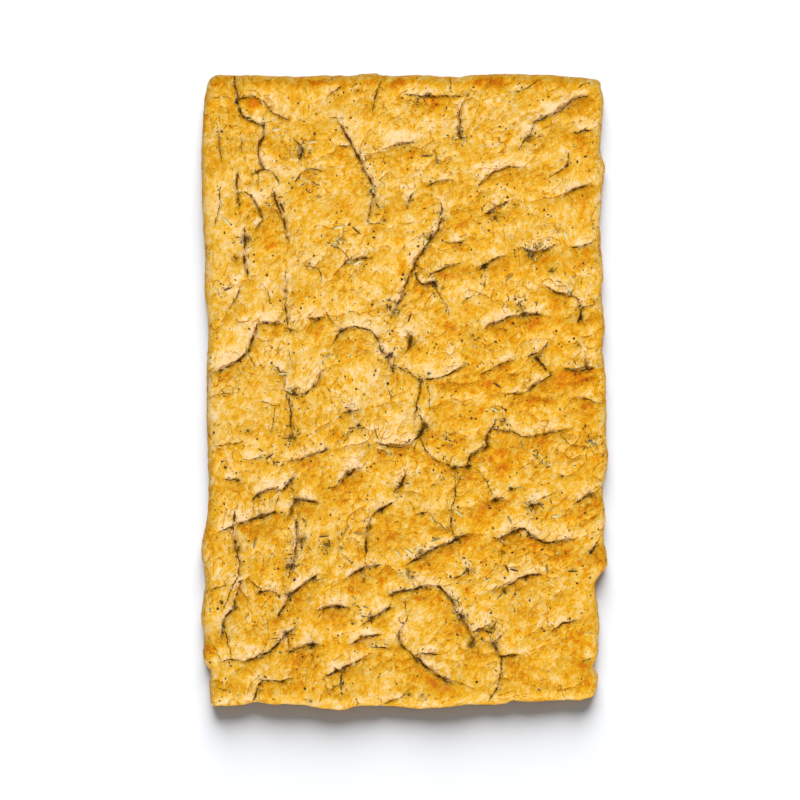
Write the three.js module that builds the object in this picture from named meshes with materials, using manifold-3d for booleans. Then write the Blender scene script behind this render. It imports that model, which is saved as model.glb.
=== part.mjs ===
// A whole sheet of rosemary focaccia, baked in a baker's tray and turned out flat.
// Millimetres, +Z up, the length of the sheet along Y, the underside on z = 0.
// The bread is one closed body. Its crust is a height field over the outline of the sheet:
// pillows that the dough puffed up between the creases that fingers pressed into it.
// Needles of rosemary lie on the crust and are baked onto it.

import * as THREE from 'three';
import { ConvexHull } from 'three/addons/math/ConvexHull.js';
import { mergeVertices } from 'three/addons/utils/BufferGeometryUtils.js';
import Module from 'manifold-3d';

// Driving dimensions
const WIDTH = 368;              // widest place of the sheet, across
const LENGTH = 576;             // longest place of the sheet
const THICKNESS = 21;           // mean height of the crust, before pillows and creases
const GIRTH_HEIGHT = 8;         // height at which the side stands out furthest
const RIM_ROUND = 9;            // how far in from the side the crust has become flat
const FOOT_INSET = 3.2;         // how far the rounded lower edge draws in to the underside
const CORNER_POWER = 16;        // squareness of the corners where the side turns
const SHOULDER_INSETS = [4.2, 1.4];   // places of the rounded rim between crust and girth
const BELLY_INSET = 0.8;        // place of the rounded lower edge between girth and foot
const BELLY_HEIGHT = 2.8;

// Pillows and creases
const LONG_SWELL = 1.5;         // height of the broad swells of the whole sheet
const LONG_SWELL_SIZE = 85;
const PILLOW_SWELL = 1.9;       // height of the pillows' own unevenness
const PILLOW_SIZE = 23;
const PILLOW_STRETCH = 1.7;     // pillows are longer along the way the dough was pulled
const PULL_HEADING = 0.6;       // radians from +X, the way most pillows and creases run
const CREASE_STEP = 5.0;        // distance between two places of a crease
const CREASE_WANDER = 1.1;      // how far a crease strays from its arc
const LIP = 2.1;                // half the width of the sharp cut at the bottom of a crease
const CUT_SHARE = 0.5;          // share of a crease's depth that the sharp cut takes
const CUT_SOFTNESS = 1.5;       // how fast the sharp cut closes
const STEEP_WIDTH = 8;          // how far the steep flank of a crease reaches
const GENTLE_WIDTH = 15;        // how far the gentle flank reaches
const CREST_OFFSET = 10;        // where the dough stands up beside the steep flank
const CREST_WIDTH = 5.5;
const CREST_SHARE = 0.16;       // height of that crest as a share of the depth
const DEEP = 8.5;               // depths of the three kinds of crease
const MIDDLING = 5.5;
const SHALLOW = 3.4;

// Small folds, which a rule scatters between the creases
const FOLD_TRIES = 900;
const FOLD_COUNT = 50;
const FOLD_DEPTH = [2.2, 3.3];
const FOLD_LENGTH = [11, 24];
const FOLD_BOW = 3;
const FOLD_CLEARANCE = 9;
const FOLD_SPREAD = 0.45;       // radians either side of the way the dough was pulled
const LEFT_BAND = -100;         // left of this the creases run along the sheet

// Rosemary
const NEEDLE_THICKNESS = 1.7;
const NEEDLE_LIFT = 0.35;       // how far a needle's middle line lies above the crust

// Fineness of the faceted body
const RIM_PLACES = 252;
const TURN_CARE = 14;           // millimetres of side that a turn of one radian counts for
const FILL_SPACING = 12.5;
const FILL_JITTER = 0.28;
const FILL_CLEARANCE = 6;
const LIP_CLEARANCE = 1.9;
const BOTTOM_CLEARANCE = 3;
const RIM_CLEARANCE = 4.6;
const SEED = 20410;

// How far each side of the sheet draws in from the full width or length.
// Each pair is the place along the side and the inset there.
const TOP_SIDE = [
  [-175.5, 4], [-171.5, 2.2], [-167, 1.5], [-155, 2.5], [-140, 1.8], [-95, 3.5], [-80, 2.2],
  [-50, 2.6], [-30, 0], [-14, 2.7], [15, 1.6], [42, 4], [60, 2], [95, 0.8], [145, 2.7],
  [168, 5.2], [174, 6.3],
];
const RIGHT_SIDE = [
  [279.5, 7], [275.5, 6.9], [266, 4], [236, 6], [216, 7], [206, 3], [174, 6], [140, 7], [103, 4],
  [89, 6], [58, 2.5], [40, 5], [14, 2], [-34, 1.5], [-65, 0.3], [-89, 5], [-115, 2], [-132, 4],
  [-150, 0.3], [-158, 1], [-166, 7], [-173, 11], [-205, 8], [-241, 10], [-248, 12.4],
  [-256, 9.5], [-266, 9.4], [-273, 11.6],
];
const BOTTOM_SIDE = [
  [168.5, 11], [160, 9], [133, 8.3], [112, 7], [97, 8.3], [90, 5], [63, 4.8], [18, 1],
  [-10, 3], [-45, 2.6], [-52, 0], [-71, 0.6], [-91, 3.8], [-123, 5], [-138, 7], [-147, 4],
  [-166, 3.7], [-171, 3.2], [-173.5, 4],
];
const LEFT_SIDE = [
  [-282, 9.2], [-277, 8.1], [-264, 7.2], [-252, 8], [-245, 3], [-235, 1.2], [-226, 2.6], [-202, 0],
  [-170, 3.6], [-141, 0], [-112, 5.7], [-77, 6.5], [-30, 4.9], [28, 5.3], [54, 6.4], [99, 2.8],
  [117, 3.6], [165, 0.8], [225, 0.4], [267, 3.6], [276, 5.1], [281, 6.3],
];

// The creases that were pressed into the dough, each an arc:
// x and y where it starts, x and y where it ends, and how far its middle bows out to the left.
const DEEP_CREASES = [
  [-154, 286, -150, 258, 0], [-150, 258, -139, 244, -3], [-139, 244, -127, 240, -1],
  [-127, 240, -132, 216, 1], [-132, 216, -127, 201, -1], [-119, 183, -104, 135, 0],
  [-59, 244, -27, 182, 0], [52, 260, 51, 228, -2], [109, 228, 117, 231, 0],
  [114, 232, 116, 243, 0], [116, 243, 142, 254, -1], [141, 253, 166, 267, 4],
  [144, 177, 168, 188, 0], [-139, 177, -128, 155, 0], [-128, 155, -135, 145, 0],
  [-144, 148, -141, 103, -2], [33, 170, 21, 134, 5], [21, 134, 3, 103, 0], [3, 103, -12, 66, 1],
  [10, 106, 15, 97, -1], [15, 97, 28, 98, -1], [72, 160, 94, 172, -1], [68, 110, 90, 122, 1],
  [106, 130, 136, 133, -5], [73, 57, 98, 68, 1], [98, 68, 124, 69, 0], [128, 95, 153, 86, -2],
  [153, 86, 156, 62, 5], [-112, 61, -133, 60, -1], [-133, 60, -140, 38, -1],
  [-140, 38, -173, 17, 3], [-22, 40, -10, 18, 1], [14, -22, 14, -40, 4], [14, -40, -25, -46, 7],
  [2, 55, 1, 36, 4], [112, 32, 130, 45, -3], [119, 31, 128, 19, 0], [112, 1, 134, 15, 1],
  [144, 21, 172, 22, -3], [163, 34, 164, 22, 0], [44, -69, 59, -67, -1], [57, -65, 76, -50, 4],
  [75, -50, 81, -29, 3], [-100, -74, -110, -90, 1], [-110, -90, -137, -98, -5],
  [-117, -109, -166, -126, 0], [-153, -108, -151, -145, -2], [-99, -97, -78, -100, 0],
  [-99, -100, -105, -114, 0], [-98, -115, -105, -169, 3], [-57, -82, -40, -69, 2],
  [0, -70, -9, -91, 3], [-10, -100, -30, -113, -1], [-30, -113, -34, -145, -2],
  [-53, -169, -21, -156, 2], [4, -155, 34, -139, 0], [34, -139, 62, -128, 0],
  [76, -101, 90, -98, 2], [112, -104, 121, -101, 0], [155, -100, 174, -90, 0],
  [85, -133, 109, -124, 1], [109, -124, 128, -137, -2], [128, -137, 153, -133, -1],
  [174, -136, 167, -147, 0], [90, -178, 123, -165, 3], [-148, -171, -153, -191, 0],
  [-152, -195, -165, -222, -4], [-144, -244, -122, -235, -1], [-122, -235, -98, -211, 0],
  [-103, -235, -77, -228, 1], [-80, -166, -104, -184, 0], [-104, -184, -115, -205, 0],
  [-78, -197, -50, -195, 2], [-38, -210, -12, -195, 1], [-12, -183, 27, -175, 0],
  [27, -175, 46, -198, 4], [46, -198, 63, -229, 3], [-49, -228, -22, -219, 1],
  [-71, -257, -36, -239, -1], [-4, -215, 3, -233, -4], [3, -233, 42, -263, -2],
  [62, -217, 78, -217, 3], [81, -227, 86, -239, 0], [86, -239, 103, -237, 0],
];
const MIDDLING_CREASES = [
  [-149, 264, -128, 263, 2], [-128, 263, -119, 251, 0], [-119, 251, -104, 245, 0],
  [-169, 240, -165, 208, 0], [-137, 196, -113, 188, 8], [-150, 200, -149, 166, -1],
  [-100, 228, -95, 207, 5], [-61, 222, -50, 221, 0], [-71, 265, -57, 275, 0],
  [-29, 252, -18, 286, 2], [0, 268, 52, 266, -1], [-20, 219, 8, 226, 0], [20, 185, 45, 190, 2],
  [1, 165, 10, 181, 2], [66, 184, 108, 203, 6], [133, 195, 148, 215, -5],
  [152, 233, 170, 236, 0], [-107, 108, -105, 60, -2], [-88, 67, -75, 66, -2],
  [-158, 74, -149, 92, 0], [-28, 182, -22, 165, -2], [-28, 178, -33, 152, 0],
  [-53, 115, -30, 121, 1], [22, 106, 50, 116, 0], [35, 135, 56, 137, -2],
  [150, 130, 176, 140, -3], [105, 78, 108, 70, 0], [-120, 25, -109, 2, 4],
  [-109, 2, -84, 3, -6], [-84, 3, -76, 22, -3], [-104, -7, -101, -40, 0], [-64, 44, -45, 59, 3],
  [-45, 59, -22, 40, 5], [-10, 24, 14, 11, 0], [14, 11, 54, 23, -3], [15, 9, 9, -30, -1],
  [14, -42, 40, -67, -4], [-55, -19, -40, -16, 0], [68, 15, 101, 29, 1], [80, -34, 106, -41, 2],
  [106, -41, 152, -33, -1], [-107, -63, -70, -52, -2], [-162, -79, -148, -80, 0],
  [-151, -145, -155, -175, 4], [45, -98, 46, -132, -4], [44, -168, 60, -160, -1],
  [93, -90, 103, -87, 0], [-131, -181, -112, -184, 2], [-131, -259, -101, -258, -3],
  [-128, -260, -137, -280, 0], [-54, -251, -56, -270, -2], [10, -238, 31, -237, 1],
  [-22, -283, -2, -275, 0], [88, -242, 85, -263, 0], [85, -263, 76, -279, 0],
  [130, -219, 158, -206, 3], [160, -244, 169, -241, 1], [81, -226, 89, -217, 0],
  [52, 80, 61, 86, 1],
];
const SHALLOW_CREASES = [
  [-148, 234, -146, 215, 0], [-166, 186, -171, 150, 1], [-100, 185, -70, 197, 9],
  [93, 270, 120, 281, -4], [-130, 98, -121, 80, 2], [33, 85, 40, 68, 2], [72, 113, 72, 95, 0],
  [-141, 34, -134, 19, 0], [-130, -9, -113, -13, 0], [-117, -16, -121, -37, 0],
  [21, 4, 23, -16, 0], [92, -2, 112, 1, -1], [155, -5, 180, -11, 0], [-144, -61, -126, -60, 0],
  [25, -113, 38, -126, 0], [46, -74, 45, -98, 0], [-61, -120, -58, -145, 0],
  [65, -70, 80, -94, 1], [-152, -171, -164, -197, 0], [-165, -244, -144, -244, 2],
  [-179, -181, -161, -174, 0], [-31, -230, -13, -233, 1], [61, 86, 69, 89, 0],
  [28, 98, 32, 86, -1], [103, 217, 109, 228, 0],
];

// The larger needles of rosemary that lie on the crust: x and y of both ends of each
const NEEDLES = [
  [0, -142, 8, -148], [-9, -143, -3, -150], [45, -107, 53, -113], [132, -113, 141, -112],
  [-164, 156, -156, 149], [-120, 235, -112, 237], [-87, 224, -78, 225], [-64, 147, -55, 149],
  [-46, 114, -38, 118], [144, 144, 147, 136], [146, 98, 149, 90], [78, -15, 86, -19],
  [-114, 16, -105, 16], [24, -135, 33, -132], [-55, -130, -51, -122], [-46, -127, -37, -129],
  [28, 213, 30, 204], [-60, 137, -52, 136], [91, 99, 98, 106], [105, -44, 107, -53],
  [128, -155, 129, -165], [93, -112, 97, -120], [-136, -142, -133, -131], [2, -159, 4, -169],
  [-163, 91, -155, 94], [80, 8, 87, 3], [-77, -131, -68, -130], [-125, -61, -118, -56],
  [3, 62, 6, 70], [15, 212, 24, 212], [-47, 148, -39, 141], [91, -156, 94, -164],
  [95, -160, 103, -162], [147, -162, 156, -162], [-93, 222, -96, 213], [-112, 170, -108, 161],
  [116, 128, 112, 120], [-96, -132, -92, -140], [42, -187, 50, -190], [166, -44, 172, -50],
  [-18, 30, -10, 35],
];

function randomFrom(seed) {
  let state = seed >>> 0;
  return () => {
    state = (state + 0x6d2b79f5) >>> 0;
    let mixed = Math.imul(state ^ (state >>> 15), 1 | state);
    mixed = (mixed + Math.imul(mixed ^ (mixed >>> 7), 61 | mixed)) ^ mixed;
    return ((mixed ^ (mixed >>> 14)) >>> 0) / 4294967296;
  };
}

const between = (random, range) => range[0] + (range[1] - range[0]) * random();

// Height in -1..1 that changes softly from one cell of the given size to the next
function softNoise(x, y, size, seed) {
  const column = Math.floor(x / size);
  const row = Math.floor(y / size);
  const u = THREE.MathUtils.smoothstep(x / size - column, 0, 1);
  const v = THREE.MathUtils.smoothstep(y / size - row, 0, 1);
  const corner = (i, j) => randomFrom(seed + (column + i) * 7919 + (row + j) * 104729)() * 2 - 1;
  const low = THREE.MathUtils.lerp(corner(0, 0), corner(1, 0), u);
  const high = THREE.MathUtils.lerp(corner(0, 1), corner(1, 1), u);
  return THREE.MathUtils.lerp(low, high, v);
}

// The outline, clockwise from the upper left corner, with closer places where it turns
function outlinePlaces() {
  const halfWidth = WIDTH / 2;
  const halfLength = LENGTH / 2;
  const knots = [
    ...TOP_SIDE.map(([along, inset]) => new THREE.Vector3(along, halfLength - inset, 0)),
    ...RIGHT_SIDE.map(([along, inset]) => new THREE.Vector3(halfWidth - inset, along, 0)),
    ...BOTTOM_SIDE.map(([along, inset]) => new THREE.Vector3(along, inset - halfLength, 0)),
    ...LEFT_SIDE.map(([along, inset]) => new THREE.Vector3(inset - halfWidth, along, 0)),
  ];
  const curve = new THREE.CatmullRomCurve3(knots, true, 'centripetal');
  curve.arcLengthDivisions = RIM_PLACES * 16;
  const fine = curve.getSpacedPoints(RIM_PLACES * 16).slice(0, -1);
  const spans = fine.map((place, index) => fine[(index + 1) % fine.length].clone().sub(place));
  const cares = spans.map((span, index) => (
    span.length() + TURN_CARE * span.angleTo(spans[(index + 1) % spans.length])
  ));
  const share = cares.reduce((sum, care) => sum + care, 0) / RIM_PLACES;
  const places = [];
  let passed = 0;
  fine.forEach((place, index) => {
    if (passed >= places.length * share - 1e-6 && places.length < RIM_PLACES) places.push(place);
    passed += cares[index];
  });
  return places;
}

// A place of the outline, moved in by a distance square to the side it lies on
function movedIn(place, distance) {
  const across = Math.sign(place.x) * Math.abs((2 * place.x) / WIDTH) ** (CORNER_POWER - 1);
  const along = Math.sign(place.y) * Math.abs((2 * place.y) / LENGTH) ** (CORNER_POWER - 1);
  const size = Math.hypot(across, along);
  return new THREE.Vector2(
    place.x - (distance * across) / size,
    place.y - (distance * along) / size,
  );
}

// The places along one crease, with the depth at each, shallower towards its ends
function creasePlaces([x0, y0, x1, y1, bow], depth, random) {
  const length = Math.hypot(x1 - x0, y1 - y0);
  const steps = Math.max(2, Math.round(length / CREASE_STEP));
  const left = new THREE.Vector2(-(y1 - y0) / length, (x1 - x0) / length);
  const places = [];
  for (let i = 0; i <= steps; i += 1) {
    const t = i / steps;
    const middle = 1 - (2 * t - 1) ** 2;
    const stray = bow * middle + CREASE_WANDER * (random() * 2 - 1) * Math.sqrt(middle);
    places.push({
      x: THREE.MathUtils.lerp(x0, x1, t) + left.x * stray,
      y: THREE.MathUtils.lerp(y0, y1, t) + left.y * stray,
      depth: depth * (0.45 + 0.55 * Math.sqrt(middle)),
      left,
    });
  }
  return places;
}

// Small folds fall at random between the creases, and follow the way the dough was pulled
function smallFolds(creases, random) {
  const folds = [];
  const taken = creases.flat();
  for (let i = 0; i < FOLD_TRIES && folds.length < FOLD_COUNT; i += 1) {
    const x = (random() - 0.5) * (WIDTH - 50);
    const y = (random() - 0.5) * (LENGTH - 50);
    const lean = (random() * 2 - 1) * FOLD_SPREAD;
    const heading = (x < LEFT_BAND ? Math.PI / 2 : PULL_HEADING) + lean;
    const half = between(random, FOLD_LENGTH) / 2;
    const bow = (random() * 2 - 1) * FOLD_BOW;
    const depth = between(random, FOLD_DEPTH);
    const ends = [
      x - half * Math.cos(heading), y - half * Math.sin(heading),
      x + half * Math.cos(heading), y + half * Math.sin(heading), bow,
    ];
    const fold = creasePlaces(ends, depth, random);
    const clear = fold.every((place) => taken.every(
      (other) => Math.hypot(place.x - other.x, place.y - other.y) > FOLD_CLEARANCE,
    ));
    if (clear) {
      folds.push(fold);
      taken.push(...fold);
    }
  }
  return folds;
}

// How far one stretch of a crease lowers the crust at a place, and lifts it beside the steep flank
function stretchEffect(x, y, from, to) {
  const dx = to.x - from.x;
  const dy = to.y - from.y;
  const t = THREE.MathUtils.clamp(
    ((x - from.x) * dx + (y - from.y) * dy) / (dx * dx + dy * dy), 0, 1,
  );
  const away = y - (from.y + dy * t);
  const distance = Math.hypot(x - (from.x + dx * t), away);
  const depth = THREE.MathUtils.lerp(from.depth, to.depth, t);
  const facing = distance > 0 ? (away / distance + 1) / 2 : 0.5;
  const reach = THREE.MathUtils.lerp(STEEP_WIDTH, GENTLE_WIDTH, facing);
  const cut = CUT_SHARE * Math.exp(-distance / CUT_SOFTNESS);
  const valley = (1 - CUT_SHARE) * Math.exp(-((distance / reach) ** 1.5));
  const crest = Math.exp(-(((distance - CREST_OFFSET) / CREST_WIDTH) ** 2)) * (1 - facing);
  return { dent: depth * (cut + valley), crest: depth * CREST_SHARE * crest };
}

// Height of the crust at a place well inside the rim
function crustHeight(x, y, creases) {
  const turnedX = (x * Math.cos(PULL_HEADING) + y * Math.sin(PULL_HEADING)) / PILLOW_STRETCH;
  const turnedY = y * Math.cos(PULL_HEADING) - x * Math.sin(PULL_HEADING);
  let dent = 0;
  let crest = 0;
  for (const places of creases) {
    for (let i = 1; i < places.length; i += 1) {
      const effect = stretchEffect(x, y, places[i - 1], places[i]);
      dent = Math.max(dent, effect.dent);
      crest = Math.max(crest, effect.crest);
    }
  }
  return THICKNESS
    + LONG_SWELL * softNoise(x, y, LONG_SWELL_SIZE, SEED)
    + PILLOW_SWELL * softNoise(turnedX, turnedY, PILLOW_SIZE, SEED + 1)
    + crest - dent;
}

// Height of the rounded rim, which climbs from the girth to the crust as a quarter of an ellipse
function rimHeight(inset, crust) {
  const left = 1 - inset / RIM_ROUND;
  return GIRTH_HEIGHT + (crust - GIRTH_HEIGHT) * Math.sqrt(1 - left * left);
}

function insideRing(x, y, ring) {
  let inside = false;
  for (let i = 0, j = ring.length - 1; i < ring.length; j = i, i += 1) {
    const a = ring[i];
    const b = ring[j];
    if ((a.y > y) !== (b.y > y) && x < ((b.x - a.x) * (y - a.y)) / (b.y - a.y) + a.x) {
      inside = !inside;
    }
  }
  return inside;
}

// Places of the crust inside the ring: the bottoms and lips of the creases, then even filling
function crustPlaces(ring, creases, random) {
  const places = [...ring];
  const add = (x, y, clearance) => {
    const clear = places.every((other, index) => {
      const needed = index < ring.length ? Math.max(clearance, RIM_CLEARANCE) : clearance;
      return Math.hypot(x - other.x, y - other.y) > needed;
    });
    if (clear && insideRing(x, y, ring)) places.push(new THREE.Vector2(x, y));
  };
  for (const place of creases.flat()) add(place.x, place.y, BOTTOM_CLEARANCE);
  for (const place of creases.flat()) {
    for (const side of [-LIP, LIP]) {
      if (place.depth > FOLD_DEPTH[1]) {
        add(place.x + side * place.left.x, place.y + side * place.left.y, LIP_CLEARANCE);
      }
    }
  }
  const rowHeight = FILL_SPACING * Math.sin(Math.PI / 3);
  for (let row = 0; row * rowHeight < LENGTH; row += 1) {
    for (let column = 0; column * FILL_SPACING < WIDTH; column += 1) {
      const jitterX = (random() * 2 - 1) * FILL_JITTER;
      const jitterY = (random() * 2 - 1) * FILL_JITTER;
      const x = (column + (row % 2) / 2 + jitterX) * FILL_SPACING - WIDTH / 2;
      const y = row * rowHeight + jitterY * FILL_SPACING - LENGTH / 2;
      add(x, y, FILL_CLEARANCE);
    }
  }
  return places;
}

// Even triangles between the places: the lower hull of the places lifted onto a paraboloid
function evenTriangles(places, ring) {
  const scale = WIDTH / 2;
  const lifted = places.map(({ x, y }, index) => {
    const point = new THREE.Vector3(x / scale, y / scale, (x * x + y * y) / (scale * scale));
    point.index = index;
    return point;
  });
  const triangles = [];
  for (const face of new ConvexHull().setFromPoints(lifted).faces) {
    const corners = [face.edge.tail(), face.edge.head(), face.edge.next.head()];
    const triangle = corners.map((corner) => corner.point.index).reverse();
    const x = triangle.reduce((sum, index) => sum + places[index].x, 0) / 3;
    const y = triangle.reduce((sum, index) => sum + places[index].y, 0) / 3;
    if (face.normal.z < 0 && insideRing(x, y, ring)) triangles.push(triangle);
  }
  return triangles;
}

function breadGeometry(creases, random) {
  const outline = outlinePlaces();
  const ring = outline.map((place) => movedIn(place, RIM_ROUND));
  const crust = crustPlaces(ring, creases, random);
  const heights = crust.map(({ x, y }) => crustHeight(x, y, creases));
  const points = crust.map(({ x, y }, index) => [x, y, heights[index]]);
  const faces = evenTriangles(crust, ring);
  const band = (upper, lower) => {
    for (let i = 0; i < RIM_PLACES; i += 1) {
      const next = (i + 1) % RIM_PLACES;
      faces.push([upper + i, upper + next, lower + i], [upper + next, lower + next, lower + i]);
    }
  };
  const rings = [
    ...SHOULDER_INSETS.map((inset) => ({ inset, height: (top) => rimHeight(inset, top) })),
    { inset: 0, height: () => GIRTH_HEIGHT },
    { inset: BELLY_INSET, height: () => BELLY_HEIGHT },
    { inset: FOOT_INSET, height: () => 0 },
  ];
  let upper = 0;
  for (const { inset, height } of rings) {
    const lower = points.length;
    outline.forEach((place, index) => {
      const moved = movedIn(place, inset);
      points.push([moved.x, moved.y, height(heights[index])]);
    });
    band(upper, lower);
    upper = lower;
  }
  const foot = outline.map((place) => movedIn(place, FOOT_INSET));
  for (const [a, b, c] of THREE.ShapeUtils.triangulateShape(foot, [])) {
    const turn = (foot[b].x - foot[a].x) * (foot[c].y - foot[a].y)
      - (foot[b].y - foot[a].y) * (foot[c].x - foot[a].x);
    faces.push(turn > 0 ? [upper + a, upper + c, upper + b] : [upper + a, upper + b, upper + c]);
  }
  return { points, faces };
}

// Height of the faceted crust under a place
function facetHeight({ points, faces }, x, y) {
  for (const [a, b, c] of faces) {
    const [ax, ay, az] = points[a];
    const [bx, by, bz] = points[b];
    const [cx, cy, cz] = points[c];
    const area = (bx - ax) * (cy - ay) - (by - ay) * (cx - ax);
    const u = ((bx - x) * (cy - y) - (by - y) * (cx - x)) / area;
    const v = ((cx - x) * (ay - y) - (cy - y) * (ax - x)) / area;
    if (area > 0 && u >= 0 && v >= 0 && u + v <= 1) return u * az + v * bz + (1 - u - v) * cz;
  }
  return THICKNESS;
}

// One needle of rosemary: a spindle that follows the crust, pointed at both ends
function needleGeometry(bread, [x0, y0, x1, y1]) {
  const heading = Math.atan2(y1 - y0, x1 - x0);
  const stations = [0, 0.3, 0.75, 1];
  const corners = 4;
  const points = [];
  const faces = [];
  stations.forEach((t, station) => {
    const px = THREE.MathUtils.lerp(x0, x1, t);
    const py = THREE.MathUtils.lerp(y0, y1, t);
    const pz = facetHeight(bread, px, py) + NEEDLE_LIFT;
    if (station === 0 || station === stations.length - 1) {
      points.push([px, py, pz]);
      return;
    }
    for (let corner = 0; corner < corners; corner += 1) {
      const angle = (corner / corners) * Math.PI * 2;
      const side = (NEEDLE_THICKNESS / 2) * Math.cos(angle);
      points.push([
        px - side * Math.sin(heading),
        py + side * Math.cos(heading),
        pz + (NEEDLE_THICKNESS / 2) * Math.sin(angle),
      ]);
    }
  });
  const last = points.length - 1;
  for (let corner = 0; corner < corners; corner += 1) {
    const next = (corner + 1) % corners;
    faces.push([0, 1 + next, 1 + corner]);
    faces.push([last, last - corners + corner, last - corners + next]);
    for (let station = 0; station < stations.length - 3; station += 1) {
      const near = 1 + station * corners;
      const far = near + corners;
      faces.push([near + corner, near + next, far + corner]);
      faces.push([near + next, far + next, far + corner]);
    }
  }
  return { points, faces };
}

function asSolid(wasm, { points, faces }) {
  const geometry = new THREE.BufferGeometry();
  geometry.setAttribute('position', new THREE.Float32BufferAttribute(points.flat(), 3));
  geometry.setIndex(faces.flat());
  const merged = mergeVertices(geometry, 1e-4);
  return new wasm.Manifold(new wasm.Mesh({
    numProp: 3,
    vertProperties: merged.attributes.position.array,
    triVerts: merged.index.array,
  }));
}

async function focacciaGeometry() {
  const wasm = await Module();
  wasm.setup();
  const random = randomFrom(SEED);
  const creases = [
    ...DEEP_CREASES.map((arc) => creasePlaces(arc, DEEP, random)),
    ...MIDDLING_CREASES.map((arc) => creasePlaces(arc, MIDDLING, random)),
    ...SHALLOW_CREASES.map((arc) => creasePlaces(arc, SHALLOW, random)),
  ];
  creases.push(...smallFolds(creases, random));
  const bread = breadGeometry(creases, random);
  let solid = asSolid(wasm, bread);
  for (const ends of NEEDLES) {
    solid = solid.add(asSolid(wasm, needleGeometry(bread, ends)));
  }
  const mesh = solid.getMesh();
  const geometry = new THREE.BufferGeometry();
  geometry.setAttribute('position', new THREE.BufferAttribute(mesh.vertProperties, 3));
  geometry.setIndex(new THREE.BufferAttribute(mesh.triVerts, 1));
  geometry.computeBoundingBox();
  const middle = geometry.boundingBox.getCenter(new THREE.Vector3());
  geometry.translate(-middle.x, -middle.y, -geometry.boundingBox.min.z);
  geometry.computeVertexNormals();
  return geometry;
}

const crust = new THREE.MeshStandardMaterial({ color: '#e9ab3f', roughness: 0.62, metalness: 0 });
const focaccia = new THREE.Mesh(await focacciaGeometry(), crust);
focaccia.name = 'focaccia';

const sheet = new THREE.Group();
sheet.add(focaccia);

export default sheet;
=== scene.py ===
# %% [markdown]
# A whole sheet of rosemary focaccia, as it comes out of a baker's tray.
# This lesson dresses a plain solid of the bread: first the crust gets its real surface and its
# colours, then the rosemary is laid on it, and last comes the studio. The solid comes from a
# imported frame, and everything here is in its frame: metres, +Z up, the bread's length along Y.

# %% Load the frame
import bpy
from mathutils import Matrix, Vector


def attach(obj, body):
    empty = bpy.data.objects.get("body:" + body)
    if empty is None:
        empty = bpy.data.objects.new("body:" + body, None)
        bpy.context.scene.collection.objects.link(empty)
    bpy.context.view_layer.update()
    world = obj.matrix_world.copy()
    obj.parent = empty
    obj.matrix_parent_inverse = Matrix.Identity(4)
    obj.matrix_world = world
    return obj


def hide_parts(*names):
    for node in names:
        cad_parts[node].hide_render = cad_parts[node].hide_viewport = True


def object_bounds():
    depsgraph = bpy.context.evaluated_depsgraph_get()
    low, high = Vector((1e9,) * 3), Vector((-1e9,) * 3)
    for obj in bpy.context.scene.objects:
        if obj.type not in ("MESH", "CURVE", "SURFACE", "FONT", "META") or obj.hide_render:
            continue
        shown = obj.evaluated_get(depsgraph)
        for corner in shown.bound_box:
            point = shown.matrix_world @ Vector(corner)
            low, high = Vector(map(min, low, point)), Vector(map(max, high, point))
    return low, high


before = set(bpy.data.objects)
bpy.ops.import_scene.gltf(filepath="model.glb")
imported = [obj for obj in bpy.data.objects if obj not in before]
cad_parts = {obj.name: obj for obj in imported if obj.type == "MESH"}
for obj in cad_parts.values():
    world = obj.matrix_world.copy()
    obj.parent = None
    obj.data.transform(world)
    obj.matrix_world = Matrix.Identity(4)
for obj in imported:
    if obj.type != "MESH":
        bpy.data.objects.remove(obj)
cad_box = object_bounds()
print("solid from", [round(c, 4) for c in cad_box[0]], "to", [round(c, 4) for c in cad_box[1]])

# %% The other modules that this lesson uses
import math

import bmesh
import bpy
import numpy as np
from mathutils import Matrix, Vector, kdtree, noise
from mathutils.bvhtree import BVHTree

MM = 0.001
NODE = "focaccia"
SEED = 7
rng = np.random.default_rng(SEED)
print("seed", SEED)

# %% [markdown]
# The larger rosemary needles are already on the solid, so their places are known: both ends of
# each, in millimetres. They are repeated here because the needles that replace them lie on the
# same spots. Baking bleached some to a pale straw green and charred others, which is why
# they are kept in three groups.

# %% The larger needles, by how they baked
PALE_NEEDLES = [
    (0, -142, 8, -148), (-9, -143, -3, -150), (45, -107, 53, -113), (132, -113, 141, -112),
    (-164, 156, -156, 149), (-120, 235, -112, 237), (-87, 224, -78, 225), (-64, 147, -55, 149),
    (-46, 114, -38, 118), (144, 144, 147, 136), (146, 98, 149, 90), (78, -15, 86, -19),
    (-114, 16, -105, 16),
]
GREY_NEEDLES = [
    (24, -135, 33, -132), (-55, -130, -51, -122), (-46, -127, -37, -129), (28, 213, 30, 204),
    (-60, 137, -52, 136), (91, 99, 98, 106), (105, -44, 107, -53), (128, -155, 129, -165),
    (93, -112, 97, -120), (-136, -142, -133, -131), (2, -159, 4, -169), (-93, 222, -96, 213),
    (116, 128, 112, 120), (-96, -132, -92, -140), (42, -187, 50, -190), (166, -44, 172, -50),
]
CHARRED_NEEDLES = [
    (-163, 91, -155, 94), (80, 8, 87, 3), (-77, -131, -68, -130), (-125, -61, -118, -56),
    (3, 62, 6, 70), (15, 212, 24, 212), (-47, 148, -39, 141), (91, -156, 94, -164),
    (95, -160, 103, -162), (147, -162, 156, -162), (-112, 170, -108, 161), (-18, 30, -10, 35),
]
print(len(PALE_NEEDLES + GREY_NEEDLES + CHARRED_NEEDLES), "larger needles")


def needle_line(ends):
    x0, y0, x1, y1 = ends
    return Vector((x0, y0)) * MM, Vector((x1, y1)) * MM


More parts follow.
